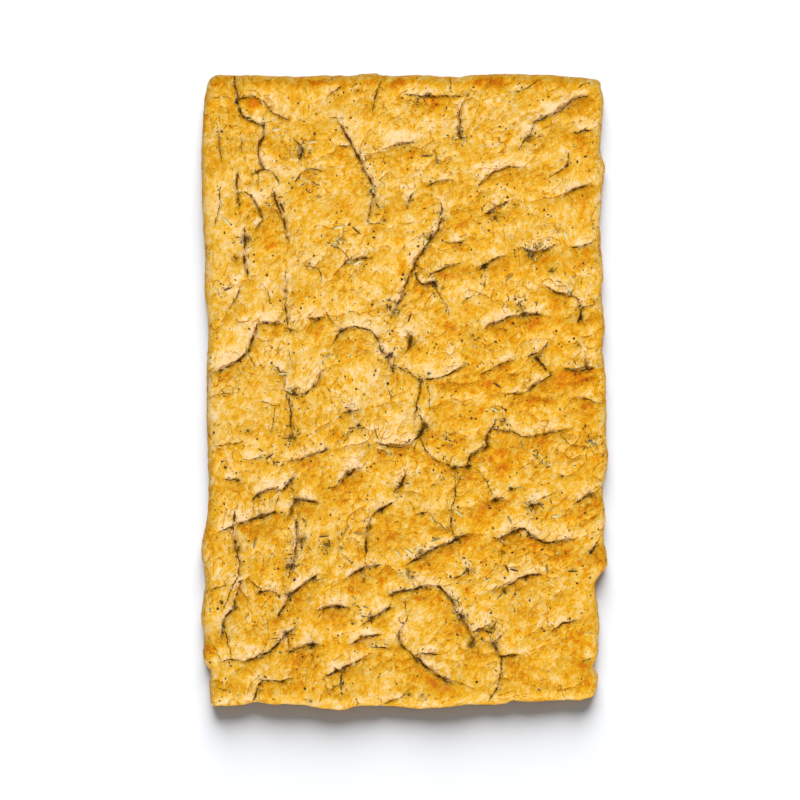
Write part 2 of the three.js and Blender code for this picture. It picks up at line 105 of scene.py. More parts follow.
# %% [markdown]
# Fingers pressed the dough before it was baked, and the tray drew it out, so the crust is
# creased all over. The solid has those creases. To give each one its crack and its colours, this
# lesson has to know where they run, so the arcs that shaped the solid are repeated here, in
# millimetres: where each starts, where it ends, and how far its middle bows to the left. A
# fourth list has creases so fine that the solid does without them.

# %% The creases, from the deepest to the finest
DEEP_CREASES = [
    (-154, 286, -150, 258, 0), (-150, 258, -139, 244, -3), (-139, 244, -127, 240, -1),
    (-127, 240, -132, 216, 1), (-132, 216, -127, 201, -1), (-119, 183, -104, 135, 0),
    (-59, 244, -27, 182, 0), (52, 260, 51, 228, -2), (109, 228, 117, 231, 0),
    (114, 232, 116, 243, 0), (116, 243, 142, 254, -1), (141, 253, 166, 267, 4),
    (144, 177, 168, 188, 0), (-139, 177, -128, 155, 0), (-128, 155, -135, 145, 0),
    (-144, 148, -141, 103, -2), (33, 170, 21, 134, 5), (21, 134, 3, 103, 0), (3, 103, -12, 66, 1),
    (10, 106, 15, 97, -1), (15, 97, 28, 98, -1), (72, 160, 94, 172, -1), (68, 110, 90, 122, 1),
    (106, 130, 136, 133, -5), (73, 57, 98, 68, 1), (98, 68, 124, 69, 0), (128, 95, 153, 86, -2),
    (153, 86, 156, 62, 5), (-112, 61, -133, 60, -1), (-133, 60, -140, 38, -1),
    (-140, 38, -173, 17, 3), (-22, 40, -10, 18, 1), (14, -22, 14, -40, 4), (14, -40, -25, -46, 7),
    (2, 55, 1, 36, 4), (112, 32, 130, 45, -3), (119, 31, 128, 19, 0), (112, 1, 134, 15, 1),
    (144, 21, 172, 22, -3), (163, 34, 164, 22, 0), (44, -69, 59, -67, -1), (57, -65, 76, -50, 4),
    (75, -50, 81, -29, 3), (-100, -74, -110, -90, 1), (-110, -90, -137, -98, -5),
    (-117, -109, -166, -126, 0), (-153, -108, -151, -145, -2), (-99, -97, -78, -100, 0),
    (-99, -100, -105, -114, 0), (-98, -115, -105, -169, 3), (-57, -82, -40, -69, 2),
    (0, -70, -9, -91, 3), (-10, -100, -30, -113, -1), (-30, -113, -34, -145, -2),
    (-53, -169, -21, -156, 2), (4, -155, 34, -139, 0), (34, -139, 62, -128, 0),
    (76, -101, 90, -98, 2), (112, -104, 121, -101, 0), (155, -100, 174, -90, 0),
    (85, -133, 109, -124, 1), (109, -124, 128, -137, -2), (128, -137, 153, -133, -1),
    (174, -136, 167, -147, 0), (90, -178, 123, -165, 3), (-148, -171, -153, -191, 0),
    (-152, -195, -165, -222, -4), (-144, -244, -122, -235, -1), (-122, -235, -98, -211, 0),
    (-103, -235, -77, -228, 1), (-80, -166, -104, -184, 0), (-104, -184, -115, -205, 0),
    (-78, -197, -50, -195, 2), (-38, -210, -12, -195, 1), (-12, -183, 27, -175, 0),
    (27, -175, 46, -198, 4), (46, -198, 63, -229, 3), (-49, -228, -22, -219, 1),
    (-71, -257, -36, -239, -1), (-4, -215, 3, -233, -4), (3, -233, 42, -263, -2),
    (62, -217, 78, -217, 3), (81, -227, 86, -239, 0), (86, -239, 103, -237, 0),
]
MIDDLING_CREASES = [
    (-149, 264, -128, 263, 2), (-128, 263, -119, 251, 0), (-119, 251, -104, 245, 0),
    (-169, 240, -165, 208, 0), (-137, 196, -113, 188, 8), (-150, 200, -149, 166, -1),
    (-100, 228, -95, 207, 5), (-61, 222, -50, 221, 0), (-71, 265, -57, 275, 0),
    (-29, 252, -18, 286, 2), (0, 268, 52, 266, -1), (-20, 219, 8, 226, 0), (20, 185, 45, 190, 2),
    (1, 165, 10, 181, 2), (66, 184, 108, 203, 6), (133, 195, 148, 215, -5),
    (152, 233, 170, 236, 0), (-107, 108, -105, 60, -2), (-88, 67, -75, 66, -2),
    (-158, 74, -149, 92, 0), (-28, 182, -22, 165, -2), (-28, 178, -33, 152, 0),
    (-53, 115, -30, 121, 1), (22, 106, 50, 116, 0), (35, 135, 56, 137, -2),
    (150, 130, 176, 140, -3), (105, 78, 108, 70, 0), (-120, 25, -109, 2, 4),
    (-109, 2, -84, 3, -6), (-84, 3, -76, 22, -3), (-104, -7, -101, -40, 0), (-64, 44, -45, 59, 3),
    (-45, 59, -22, 40, 5), (-10, 24, 14, 11, 0), (14, 11, 54, 23, -3), (15, 9, 9, -30, -1),
    (14, -42, 40, -67, -4), (-55, -19, -40, -16, 0), (68, 15, 101, 29, 1), (80, -34, 106, -41, 2),
    (106, -41, 152, -33, -1), (-107, -63, -70, -52, -2), (-162, -79, -148, -80, 0),
    (-151, -145, -155, -175, 4), (45, -98, 46, -132, -4), (44, -168, 60, -160, -1),
    (93, -90, 103, -87, 0), (-131, -181, -112, -184, 2), (-131, -259, -101, -258, -3),
    (-128, -260, -137, -280, 0), (-54, -251, -56, -270, -2), (10, -238, 31, -237, 1),
    (-22, -283, -2, -275, 0), (88, -242, 85, -263, 0), (85, -263, 76, -279, 0),
    (130, -219, 158, -206, 3), (160, -244, 169, -241, 1), (81, -226, 89, -217, 0),
    (52, 80, 61, 86, 1),
]
SHALLOW_CREASES = [
    (-148, 234, -146, 215, 0), (-166, 186, -171, 150, 1), (-100, 185, -70, 197, 9),
    (93, 270, 120, 281, -4), (-130, 98, -121, 80, 2), (33, 85, 40, 68, 2), (72, 113, 72, 95, 0),
    (-141, 34, -134, 19, 0), (-130, -9, -113, -13, 0), (-117, -16, -121, -37, 0),
    (21, 4, 23, -16, 0), (92, -2, 112, 1, -1), (155, -5, 180, -11, 0), (-144, -61, -126, -60, 0),
    (25, -113, 38, -126, 0), (46, -74, 45, -98, 0), (-61, -120, -58, -145, 0),
    (65, -70, 80, -94, 1), (-152, -171, -164, -197, 0), (-165, -244, -144, -244, 2),
    (-179, -181, -161, -174, 0), (-31, -230, -13, -233, 1), (61, 86, 69, 89, 0),
    (28, 98, 32, 86, -1), (103, 217, 109, 228, 0),
]
FINE_CREASES = [
    (-127, 242, -112, 247, 0), (42, 275, 40, 283, 0), (45, 227, 56, 229, 0),
    (-4, 151, 12, 153, 0), (-33, 152, -18, 150, 0), (-70, 70, -60, 58, 0), (102, 79, 112, 83, 0),
    (158, 76, 170, 78, 0), (133, 107, 139, 113, 0), (172, 70, 178, 77, 0),
    (-146, 19, -155, 10, 0), (-105, 57, -95, 54, 0), (-147, -38, -141, -35, 0),
    (-173, -49, -145, -45, 0), (-80, -25, -80, -32, 0), (-46, -33, -36, -33, 0),
    (-27, -30, -23, -44, 0), (-17, 9, -12, -8, 0), (141, -39, 149, -48, 0),
    (-135, -98, -137, -105, 0), (-137, -105, -134, -111, 0), (-113, -93, -117, -108, 0),
    (-102, -87, -99, -95, 0), (-141, -169, -129, -178, 0), (-71, -89, -58, -84, 0),
    (-34, -145, -37, -159, 0), (11, -111, 22, -109, 0), (2, -97, 9, -106, 0),
    (-58, -145, -46, -156, 0), (81, -132, 90, -138, 0), (-162, -217, -156, -237, 0),
    (-175, -224, -165, -244, 0), (-124, -223, -111, -222, 0), (-106, -219, -104, -231, 0),
    (-83, -237, -80, -250, 0), (-168, -267, -157, -269, 0), (-14, -194, -10, -184, 0),
    (165, -214, 171, -219, 0), (0, -273, 8, -266, 0), (-58, -263, -67, -271, 0),
    (-43, -278, -43, -284, 0), (75, -217, 78, -226, 0), (-78, -170, -70, -168, 0),
    (-172, 265, -158, 265, 0), (-64, 247, -56, 246, 0), (-71, 279, -61, 285, 0),
    (-149, 179, -139, 177, 1), (-149, 166, -146, 172, 0), (-132, 196, -132, 186, 0),
    (156, 273, 163, 278, 0), (114, 128, 115, 120, 0), (-92, 114, -78, 111, 1),
    (-78, 111, -75, 99, 1), (-53, 117, -61, 109, 0), (-40, 117, -40, 106, 0),
    (-104, 39, -101, 22, 0), (-62, 132, -50, 118, 1), (-177, -7, -152, -1, 2),
    (-23, -52, -14, -56, 1), (-37, -61, -32, -51, 0), (-55, -46, -41, -30, 1),
    (34, -57, 40, -64, 0), (8, -54, 11, -46, 0), (149, -48, 171, -49, -1),
    (120, -98, 141, -89, 0), (-39, -166, -35, -173, 0), (45, -261, 63, -268, 1),
    (1, -189, 3, -203, 0), (3, -203, -3, -215, 0), (155, -265, 167, -255, 0),
]
print(len(DEEP_CREASES + MIDDLING_CREASES + SHALLOW_CREASES), "creases that the solid has too,",
      len(FINE_CREASES), "fine ones")

# %% [markdown]
# The solid's creases stray from their arcs by a seeded random draw. The same draw is made here,
# number for number, so the lines below run exactly along the bottoms of the solid's creases.

# %% The solid's own random draw
SOLID_SEED = 20410
SOLID_STEP = 0x6D2B79F5
WHOLE = 2 ** 32


def solid_draw(seed):
    """Endless numbers from 0 to 1, the same ones that shaped the solid."""
    state = seed
    while True:
        state = (state + SOLID_STEP) % WHOLE
        mixed = (state ^ (state >> 15)) * (1 | state) % WHOLE
        mixed = ((mixed + (mixed ^ (mixed >> 7)) * (61 | mixed)) % WHOLE) ^ mixed
        yield (mixed ^ (mixed >> 14)) / WHOLE


solid_random = solid_draw(SOLID_SEED)
print("first draw", round(next(solid_draw(SOLID_SEED)), 4))

# %% Lay the creases out
CREASE_STEP = 5.0           # millimetres between two places of a crease
CREASE_WANDER = 1.1         # millimetres that a place strays from its arc
STRENGTHS = (1.0, 0.62, 0.36, 0.26)     # from the deepest creases to the finest


def crease_places(arc, strength):
    """Places along one crease: x, y, strength and how near the middle, 0 to 1."""
    x0, y0, x1, y1, bow = arc
    length = math.hypot(x1 - x0, y1 - y0)
    steps = max(2, math.floor(length / CREASE_STEP + 0.5))
    left_x, left_y = -(y1 - y0) / length, (x1 - x0) / length
    placed = []
    for i in range(steps + 1):
        t = i / steps
        middle = 1 - (2 * t - 1) ** 2
        stray = bow * middle + CREASE_WANDER * (next(solid_random) * 2 - 1) * math.sqrt(middle)
        placed.append((x0 + (x1 - x0) * t + left_x * stray, y0 + (y1 - y0) * t + left_y * stray,
                       strength, middle))
    return placed


kinds = (DEEP_CREASES, MIDDLING_CREASES, SHALLOW_CREASES, FINE_CREASES)
creases = [crease_places(arc, strength) for kind, strength in zip(kinds, STRENGTHS) for arc in kind]
print(len(creases), "creases of", sum(len(places) for places in creases), "places")

# %% [markdown]
# A crease is strong along its middle and fades out at its ends, unless another crease meets it
# there: where two meet, the dough was pressed twice, and the crack is at its darkest, its darkness
# partly painted shade. Each crease is then sampled closely, and the samples go into a tree that
# answers quickly which of them lies nearest to any place.

# %% Let the creases fade at their free ends
MEET_REACH = 7.0            # millimetres
END_STRENGTH = 0.2
UNEVEN = 0.8
UNEVEN_SIZE = 9.0           # millimetres
UNEVEN_SEED = 2.2


def meets_another(place, own):
    return any(math.hypot(place[0] - x, place[1] - y) < MEET_REACH
               for other in creases if other is not own for x, y, strength, middle in other)


def faded(places):
    """x, y and strength along a crease, with an unevenness of its own."""
    start_meets, end_meets = meets_another(places[0], places), meets_another(places[-1], places)
    rows = []
    for i, (x, y, strength, middle) in enumerate(places):
        meets = start_meets if i < len(places) / 2 else end_meets
        share = 1 if meets else END_STRENGTH + (1 - END_STRENGTH) * math.sqrt(middle)
        uneven = 1 + UNEVEN * noise.noise((x / UNEVEN_SIZE, y / UNEVEN_SIZE, UNEVEN_SEED))
        rows.append((x * MM, y * MM, min(1, strength * share * uneven)))
    return rows


lines = [faded(places) for places in creases]
print(sum(meets_another(places[0], places) for places in creases), "creases start at another")

# %% Sample the creases closely
SAMPLE = 0.6 * MM
NO_DISTANCE = 1e-9


def sampled(lines):
    """Rows of x, y, strength and the way the line runs there."""
    rows = []
    for line in lines:
        for (x0, y0, s0), (x1, y1, s1) in zip(line, line[1:]):
            length = math.hypot(x1 - x0, y1 - y0)
            steps = max(1, round(length / SAMPLE))
            for i in range(steps):
                t = i / steps
                rows.append((x0 + (x1 - x0) * t, y0 + (y1 - y0) * t, s0 + (s1 - s0) * t,
                             (x1 - x0) / length, (y1 - y0) / length))
    return rows


samples = sampled(lines)
crease_tree = kdtree.KDTree(len(samples))
for i, row in enumerate(samples):
    crease_tree.insert((row[0], row[1], 0), i)
crease_tree.balance()


def nearest_crease(place):
    """Distance to the nearest crease, above 0 to its left, its strength, and how far north."""
    index, distance = crease_tree.find((place.x, place.y, 0))[1:]
    x, y, strength, along_x, along_y = samples[index]
    side = along_x * (place.y - y) - along_y * (place.x - x)
    north = (place.y - y) / distance if distance > NO_DISTANCE else 0
    return (distance if side > 0 else -distance), strength, north


print(len(samples), "samples")

# %% [markdown]
# The crust starts as a merged copy of the solid. The solid has the pillows and the creases
# between them, but in flat facets of a centimetre.

# %% Copy the solid
CRUST_LOW = 10 * MM         # below this is the side of the bread, which has no creases
GIRTH_LEVEL = 8 * MM        # where the side stands out furthest
GIRTH_BAND = 0.05 * MM
MERGE_REACH = 1e-6

crust = bmesh.new()
crust.from_mesh(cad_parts[NODE].data)
bmesh.ops.remove_doubles(crust, verts=crust.verts[:], dist=MERGE_REACH)
print(len(crust.faces), "faces,", len(crust.verts), "points")

# %% [markdown]
# Fine detail needs fine faces, but only where it shows. Each round below halves the edges that
# are still too long for their place: short ones along the creases, longer ones on the pillows,
# and none on the flat underside. Splitting by need keeps the crust well under the limit of
# faces, where an even subdivision would waste most of them on the underside.

# %% Split the long edges
CREASE_EDGE = 2.3 * MM
PILLOW_EDGE = 3.2 * MM
SIDE_EDGE = 3.4 * MM
CLOSE = 2.0 * MM            # up to here an edge counts as on a crease
FAR = 5.5 * MM              # and from here as on a pillow
FLOOR_LEVEL = 0.3 * MM
ROUNDS = 4


def allowed_length(edge):
    middle = (edge.verts[0].co + edge.verts[1].co) / 2
    if middle.z < FLOOR_LEVEL:
        return math.inf
    if middle.z < CRUST_LOW:
        return SIDE_EDGE
    side, strength, north = nearest_crease(middle)
    share = min(1, max(0, (abs(side) - CLOSE) / (FAR - CLOSE)))
    return CREASE_EDGE + (PILLOW_EDGE - CREASE_EDGE) * share


for _ in range(ROUNDS):
    long_edges = [e for e in crust.edges
                  if e.calc_length() > CREASE_EDGE and e.calc_length() > allowed_length(e)]
    if long_edges:
        bmesh.ops.subdivide_edges(crust, edges=long_edges, cuts=1)
        bmesh.ops.triangulate(crust, faces=[f for f in crust.faces if len(f.verts) > 3])
print(len(crust.faces), "faces after splitting")

# %% The widest line round the bread
girth = [v.co.copy() for v in crust.verts if abs(v.co.z - GIRTH_LEVEL) < GIRTH_BAND]
girth_tree = kdtree.KDTree(len(girth))
for i, place in enumerate(girth):
    girth_tree.insert((place.x, place.y, 0), i)
girth_tree.balance()


def from_edge(place):
    """How far a place lies inside the outline of the sheet."""
    return girth_tree.find((place.x, place.y, 0))[2]


print(len(girth), "places round the bread")

# %% [markdown]
# Where creases meet, a fingertip often went deepest and left a small pit, which the material
# darkens, partly as scorched crust and partly as painted shade. The photograph shows where those
# are.

# %% Where fingertips went deepest
# x, y and radius in millimetres
PITS = [
    (22, 268, 2), (57, 267, 2), (112, 229, 3), (99, 169, 2), (138, 146, 2), (82, 158, 2),
    (-143, 138, 4), (-152, 120, 3), (-107, 91, 2), (-101, 89, 1), (-14, 76, 3), (-7, 72, 3),
    (-57, 55, 3), (-140, 37, 2), (-102, 55, 2), (-78, 65, 2), (-63, 132, 2), (-22, 40, 2),
    (-12, 32, 3), (-108, 16, 2), (-100, 0, 4), (-86, 115, 2), (23, 139, 4), (11, 106, 2),
    (27, 97, 3), (72, 113, 3), (114, 123, 4), (122, 133, 2), (133, 109, 3), (108, 69, 3),
    (103, 78, 2), (159, 66, 3), (6, 46, 3), (61, 50, 2), (120, 31, 4), (132, 17, 2), (14, 10, 3),
    (22, 16, 2), (165, 22, 2), (157, 42, 2), (-102, -41, 4), (-141, -35, 2), (-50, -17, 3),
    (-42, -31, 3), (-150, -80, 2), (-132, -95, 3), (-129, -112, 3), (-97, -99, 4), (-103, -81, 2),
    (-51, -74, 3), (-21, -107, 3), (-31, -122, 2), (-4, -84, 3), (-70, -138, 4), (-93, -134, 4),
    (-90, -117, 2), (-71, -52, 2), (-150, -142, 3), (18, -31, 4), (14, -38, 4), (45, -69, 3),
    (57, -68, 3), (72, -51, 3), (89, -26, 3), (38, -42, 2), (81, -17, 2), (115, -103, 4),
    (168, -93, 3), (119, -59, 2), (98, -126, 3), (48, -134, 3), (15, -146, 4), (16, -110, 2),
    (168, -145, 2), (96, -88, 2), (82, -98, 3), (-151, -149, 2), (-104, -158, 4), (-105, -183, 4),
    (-82, -169, 3), (-153, -194, 3), (-163, -212, 2), (-107, -218, 3), (-83, -229, 4),
    (-60, -194, 3), (-39, -161, 3), (-30, -204, 3), (-39, -222, 2), (-54, -250, 2), (-56, -263, 2),
    (-85, -279, 2), (-130, -269, 1), (-109, -262, 2), (-86, -187, 2), (-165, -190, 2),
    (3, -164, 2), (7, -167, 2), (14, -176, 2), (51, -203, 4), (60, -227, 4), (81, -227, 4),
    (87, -239, 2), (90, -179, 3), (110, -168, 3), (57, -161, 3), (89, -145, 2), (78, -213, 3),
    (12, -243, 3), (4, -273, 2), (16, -274, 2), (-93, 218, 3), (-112, 168, 2), (-141, 157, 2),
    (-30, 180, 3), (-42, 213, 2), (-128, 202, 2), (-95, 213, 3), (-18, 154, 2), (30, 208, 2),
]
print(len(PITS), "pits")

# %% [markdown]
# The facets now melt into soft dough: a few rounds of smoothing move each point towards the
# middle of its neighbours. Only the first round may move points sideways. It would round off
# the corners of the sheet, so a round with a negative factor moves them back out: together the
# two melt the facets and keep the outline.

# %% Smooth the dough
SMOOTH_ROUNDS = 7
MELT = 0.5                  # share of the way to the middle of the neighbours
MOVE_BACK = -0.52

soft = [v for v in crust.verts if v.co.z > FLOOR_LEVEL]
upper_crust = [v for v in soft if v.co.z > CRUST_LOW]
for i in range(SMOOTH_ROUNDS):
    bmesh.ops.smooth_vert(crust, verts=soft if i == 0 else upper_crust, factor=MELT,
                          use_axis_x=i == 0, use_axis_y=i == 0, use_axis_z=True)
    if i == 0:
        bmesh.ops.smooth_vert(crust, verts=soft, factor=MOVE_BACK,
                              use_axis_x=True, use_axis_y=True)
print(len(upper_crust), "points of", len(crust.verts), "are on the crust")

# %% [markdown]
# Smoothing also softens the creases, so each gets its crack back. The dough south of a crease
# rolled over it, so the crack is steep there, with a lip beside it, and it runs out gently
# towards the north. The pits go in at the same time.

# %% Dig the cracks and the pits
CRACK_DEPTH = 1.6 * MM
STEEP_WIDTH = 0.8 * MM
GENTLE_WIDTH = 2.0 * MM
CRACK_END = 9 * MM
LIP_PLACE = 2.7 * MM
LIP_WIDTH = 1.7 * MM
LIP_HEIGHT = 0.9 * MM
PIT_DEPTH = 1.3 * MM

pit_tree = kdtree.KDTree(len(PITS))
for i, (x, y, radius) in enumerate(PITS):
    pit_tree.insert((x * MM, y * MM, 0), i)
pit_tree.balance()


def from_pit(place):
    """Distance to the nearest pit, in radii of that pit."""
    index, distance = pit_tree.find((place.x, place.y, 0))[1:]
    return distance / (PITS[index][2] * MM)


def crack(place):
    """How far the crust moves up or down beside the nearest crease."""
    side, strength, north = nearest_crease(place)
    distance = abs(side)
    if distance > CRACK_END:
        return 0
    width = STEEP_WIDTH + (GENTLE_WIDTH - STEEP_WIDTH) * (north + 1) / 2
    lip = math.exp(-((distance - LIP_PLACE) / LIP_WIDTH) ** 2) * (1 - north) / 2
    return strength * (LIP_HEIGHT * lip - CRACK_DEPTH * math.exp(-(distance / width) ** 2))


for vert in soft:
    if vert.co.z > CRUST_LOW:
        vert.co.z += crack(vert.co) - PIT_DEPTH * math.exp(-from_pit(vert.co) ** 2)
print("cracked crust from", round(min(v.co.z for v in soft) / MM, 2),
      "to", round(max(v.co.z for v in soft) / MM, 2), "mm")

# %% [markdown]
# Dough that was dimpled and stretched is never smooth between its creases: it crumples into
# little pillows with sharp folds between them. Smooth noise makes that shape when its sign is
# dropped, because where it passes through nought a fold appears, and everywhere else it bulges.
# Two sizes of crumple are laid over each other, both drawn out along the pull, and some of
# the folds are left out by a mask. Blisters that swelled in the oven come on top.

# %% Crumple the dough
PULL = 0.6                  # radians from +X, the way the dough was pulled
LEFT_BAND = -100 * MM       # left of this the dough creased along the sheet
BAND_SOFTNESS = 25 * MM
BAND_STEEPNESS = 4
BIG_CRUMPLE = (24 * MM, 13 * MM, 2.6 * MM)      # length, width and height
SMALL_CRUMPLE = (10 * MM, 6 * MM, 0.85 * MM)
BIG_SEEDS = (3.7, 8.8)      # for the crumples and for their mask
SMALL_SEEDS = (14.2, 21.5)
PROBE = 0.4 * MM            # step over which the noise's steepness is measured
LEAST_STEEPNESS = 20        # per metre
MASK_SIZE = 30 * MM
MASK_LEVEL = 0.55
MASK_CONTRAST = 1.6
FULL_BULGE = 0.3            # noise value at which a crumple has reached its height
BULGE_ROUNDNESS = 0.7
BULGE_MIDDLE = 0.6          # share of its height by which a fold lies lower than before
WARP = 5 * MM
WARP_SIZE = 22 * MM
WARP_SEEDS = (31.0, 47.0)


def pulled(x, y):
    """A place in the dough's own directions: along the pull and across it, with a soft warp."""
    share = 1 / (1 + math.exp((x - LEFT_BAND) / BAND_SOFTNESS * BAND_STEEPNESS))
    heading = PULL + (math.pi / 2 - PULL) * share
    x += WARP * noise.noise((x / WARP_SIZE, y / WARP_SIZE, WARP_SEEDS[0]))
    y += WARP * noise.noise((x / WARP_SIZE, y / WARP_SIZE, WARP_SEEDS[1]))
    return (x * math.cos(heading) + y * math.sin(heading),
            y * math.cos(heading) - x * math.sin(heading))


def crumple(x, y, size, seed):
    """Noise whose nought is a fold, and how far the nearest fold is, with a sign."""
    length, width, height = size
    along, across = pulled(x, y)
    value = noise.noise((along / length, across / width, seed))
    by_along = noise.noise(((along + PROBE) / length, across / width, seed)) - value
    by_across = noise.noise((along / length, (across + PROBE) / width, seed)) - value
    steepness = math.hypot(by_along, by_across) / PROBE
    return value, value / max(steepness, LEAST_STEEPNESS)


def fold_mask(x, y, seed):
    """Where folds show: 0 on some of the dough, up to 1 on the rest."""
    value = noise.noise((x / MASK_SIZE, y / MASK_SIZE, seed))
    return min(1, max(0, MASK_LEVEL + MASK_CONTRAST * value))


def bulge(value, mask, size):
    """How far a crumple rises or sinks where its noise has this value."""
    return size[2] * mask * (min(1, abs(value) / FULL_BULGE) ** BULGE_ROUNDNESS - BULGE_MIDDLE)


print("noise in the middle of the bread", round(crumple(0, 0, BIG_CRUMPLE, BIG_SEEDS[0])[0], 3))

# %% Blisters
BLISTER_SIZE = 17 * MM
BLISTER_SHARE = 0.3
BLISTER_HEIGHT = 0.8 * MM
BLISTER_REACH = (0.22, 0.12)    # in cells: the least, and how much more it may be
CELL_SCATTER = (91, 57, 5)
EGG = (-137, 259, 8, 5.5)   # the one blister that stands out: x, y and half its size
EGG_HEIGHT = 2.2 * MM
EGG_ROUNDNESS = 0.7


def egg(x, y):
    """The blister near the upper left corner, as smooth and round as an egg."""
    egg_x, egg_y, half_x, half_y = EGG
    away = ((x / MM - egg_x) / half_x) ** 2 + ((y / MM - egg_y) / half_y) ** 2
    return max(0, 1 - away) ** EGG_ROUNDNESS


def blister(x, y):
    """A round swelling in a few cells of a random pattern, 0 elsewhere."""
    distances, points = noise.voronoi((x / BLISTER_SIZE, y / BLISTER_SIZE, 0))
    by_x, by_y, seed = CELL_SCATTER
    chosen = noise.cell((points[0].x * by_x, points[0].y * by_y, seed)) * 0.5 + 0.5
    reach = BLISTER_REACH[0] + BLISTER_REACH[1] * chosen
    if chosen > BLISTER_SHARE or distances[0] > reach:
        return 0
    return (1 - (distances[0] / reach) ** 2) ** 2


print("the egg's middle rises by", round(EGG_HEIGHT * egg(EGG[0] * MM, EGG[1] * MM) / MM, 2), "mm")

# %% [markdown]
# All of it is added up point by point. Crumples and blisters fade out towards the side of the
# bread, where the tray held the dough, and the side strays in and out a little. Nothing may
# rise above the solid's own top.

# %% Raise them
RIM_LEVEL = 17 * MM         # from here up the unevenness is at full height
SIDE_WAVER = 0.9 * MM       # how far the side of the bread strays in and out
SIDE_WAVER_SIZE = 9 * MM
SIDE_WAVER_SEED = 60
WAVER_MIDDLE = 0.1
TOP_CLEARANCE = 0.2 * MM

crust.normal_update()
outward = {v.index: v.normal.xy.copy() for v in soft}
folds = {}
for vert in soft:
    where = vert.co / SIDE_WAVER_SIZE
    where.z += SIDE_WAVER_SEED
    waver = noise.fractal(where, 1.0, 2.0, 2) - WAVER_MIDDLE
    vert.co.xy += outward[vert.index] * waver * SIDE_WAVER
for vert in soft:
    if vert.co.z > CRUST_LOW:
        x, y = vert.co.x, vert.co.y
        fade = min(1, (vert.co.z - CRUST_LOW) / (RIM_LEVEL - CRUST_LOW))
        big, big_side = crumple(x, y, BIG_CRUMPLE, BIG_SEEDS[0])
        small, small_side = crumple(x, y, SMALL_CRUMPLE, SMALL_SEEDS[0])
        big_mask, small_mask = fold_mask(x, y, BIG_SEEDS[1]), fold_mask(x, y, SMALL_SEEDS[1])
        rise = bulge(big, big_mask, BIG_CRUMPLE) + bulge(small, small_mask, SMALL_CRUMPLE)
        vert.co.z += fade * (rise + BLISTER_HEIGHT * blister(x, y)) + EGG_HEIGHT * egg(x, y)
        folds[vert.index] = (big_side / MM, big_mask, small_side / MM, small_mask)
highest = cad_box[1][2] - TOP_CLEARANCE
for vert in soft:
    vert.co.z = min(vert.co.z, highest)
crust.normal_update()
crust_tree = BVHTree.FromBMesh(crust)
print("crust from", round(min(v.co.z for v in crust.verts), 5),
      "to", round(max(v.co.z for v in crust.verts), 5))

# %% [markdown]
# How brown a place is depends on how it stood in the oven: what stood high caught the heat,
# what lay in a hollow stayed pale. So the colours start from the relief. The heights are laid
# out on an even grid, blurred by a little and by a lot, and compared: where the small blur
# lies above the large one there is a crest. The blur runs through a Fourier transform, which
# makes a wide one as quick as a narrow one.

# %% Lay out the heights and blur them
CELL = 1.5 * MM
MARGIN = 20 * MM
SMALL_BLUR = 2.6 * MM
LARGE_BLUR = 13 * MM
low_x, low_y = cad_box[0][0] - MARGIN, cad_box[0][1] - MARGIN
columns = int((cad_box[1][0] - cad_box[0][0] + 2 * MARGIN) / CELL)
rows = int((cad_box[1][1] - cad_box[0][1] + 2 * MARGIN) / CELL)

crust.verts.ensure_lookup_table()
places = np.array([v.co[:] for v in crust.verts])
column = np.clip(((places[:, 0] - low_x) / CELL).astype(int), 0, columns - 1)
row = np.clip(((places[:, 1] - low_y) / CELL).astype(int), 0, rows - 1)
cell = row * columns + column
upper = places[:, 2] > CRUST_LOW
counted = np.bincount(cell[upper], minlength=rows * columns).reshape(rows, columns)
summed = np.bincount(cell[upper], places[upper, 2], minlength=rows * columns).reshape(rows, columns)
known = (counted > 0).astype(float)
heights = summed / np.maximum(counted, 1)


def blurred(grid, radius):
    """A Gaussian blur of a grid, by the product of its spectrum with the Gaussian's own."""
    fy = np.fft.fftfreq(rows)[:, None]
    fx = np.fft.rfftfreq(columns)[None, :]
    window = np.exp(-2 * (math.pi * (radius / CELL)) ** 2 * (fx ** 2 + fy ** 2))
    return np.fft.irfft2(np.fft.rfft2(grid) * window, s=grid.shape)


def blurred_height(radius):
    return blurred(heights * known, radius) / np.maximum(blurred(known, radius), 1e-6)


small = blurred_height(SMALL_BLUR)
crest_grid = small - blurred_height(LARGE_BLUR)
slope_grid = np.gradient(small, CELL, axis=0)       # above 0 where the crust faces south
crest = crest_grid.ravel()[cell]
slope = slope_grid.ravel()[cell]
print("crest from", round(crest[upper].min() / MM, 2),
      "to", round(crest[upper].max() / MM, 2), "mm")

# %% [markdown]
# Some spots are browner, paler or fuller of herbs than the relief explains. They are listed from
# the photograph: the dark blisters, the parts that the oven baked more or less, and the heaps that
# the brush left behind.

# %% Spots that the photograph shows
# x, y and half the size each way, in millimetres
BAKED_SPOTS = [
    (-137, 259, 8, 5), (88, 217, 3, 6), (92, 227, 3, 6), (25, 259, 12, 10), (147, 13, 11, 8),
    (90, -59, 9, 18), (16, -2, 5, 6), (-106, -25, 7, 7), (-117, 132, 9, 6), (-2, 113, 5, 11),
    (-75, -85, 8, 7),
    (182, -155, 6, 8), (-180, -237, 6, 12), (21, -265, 9, 8), (-16, -131, 8, 7), (75, 4, 8, 6),
    (153, -117, 9, 6), (67, -117, 10, 7), (155, -225, 9, 7), (-70, 281, 60, 6), (90, 280, 50, 6),
    (-20, 281, 30, 6), (60, -130, 12, 6), (40, 60, 9, 7), (-60, -40, 9, 6), (120, 60, 10, 6),
]
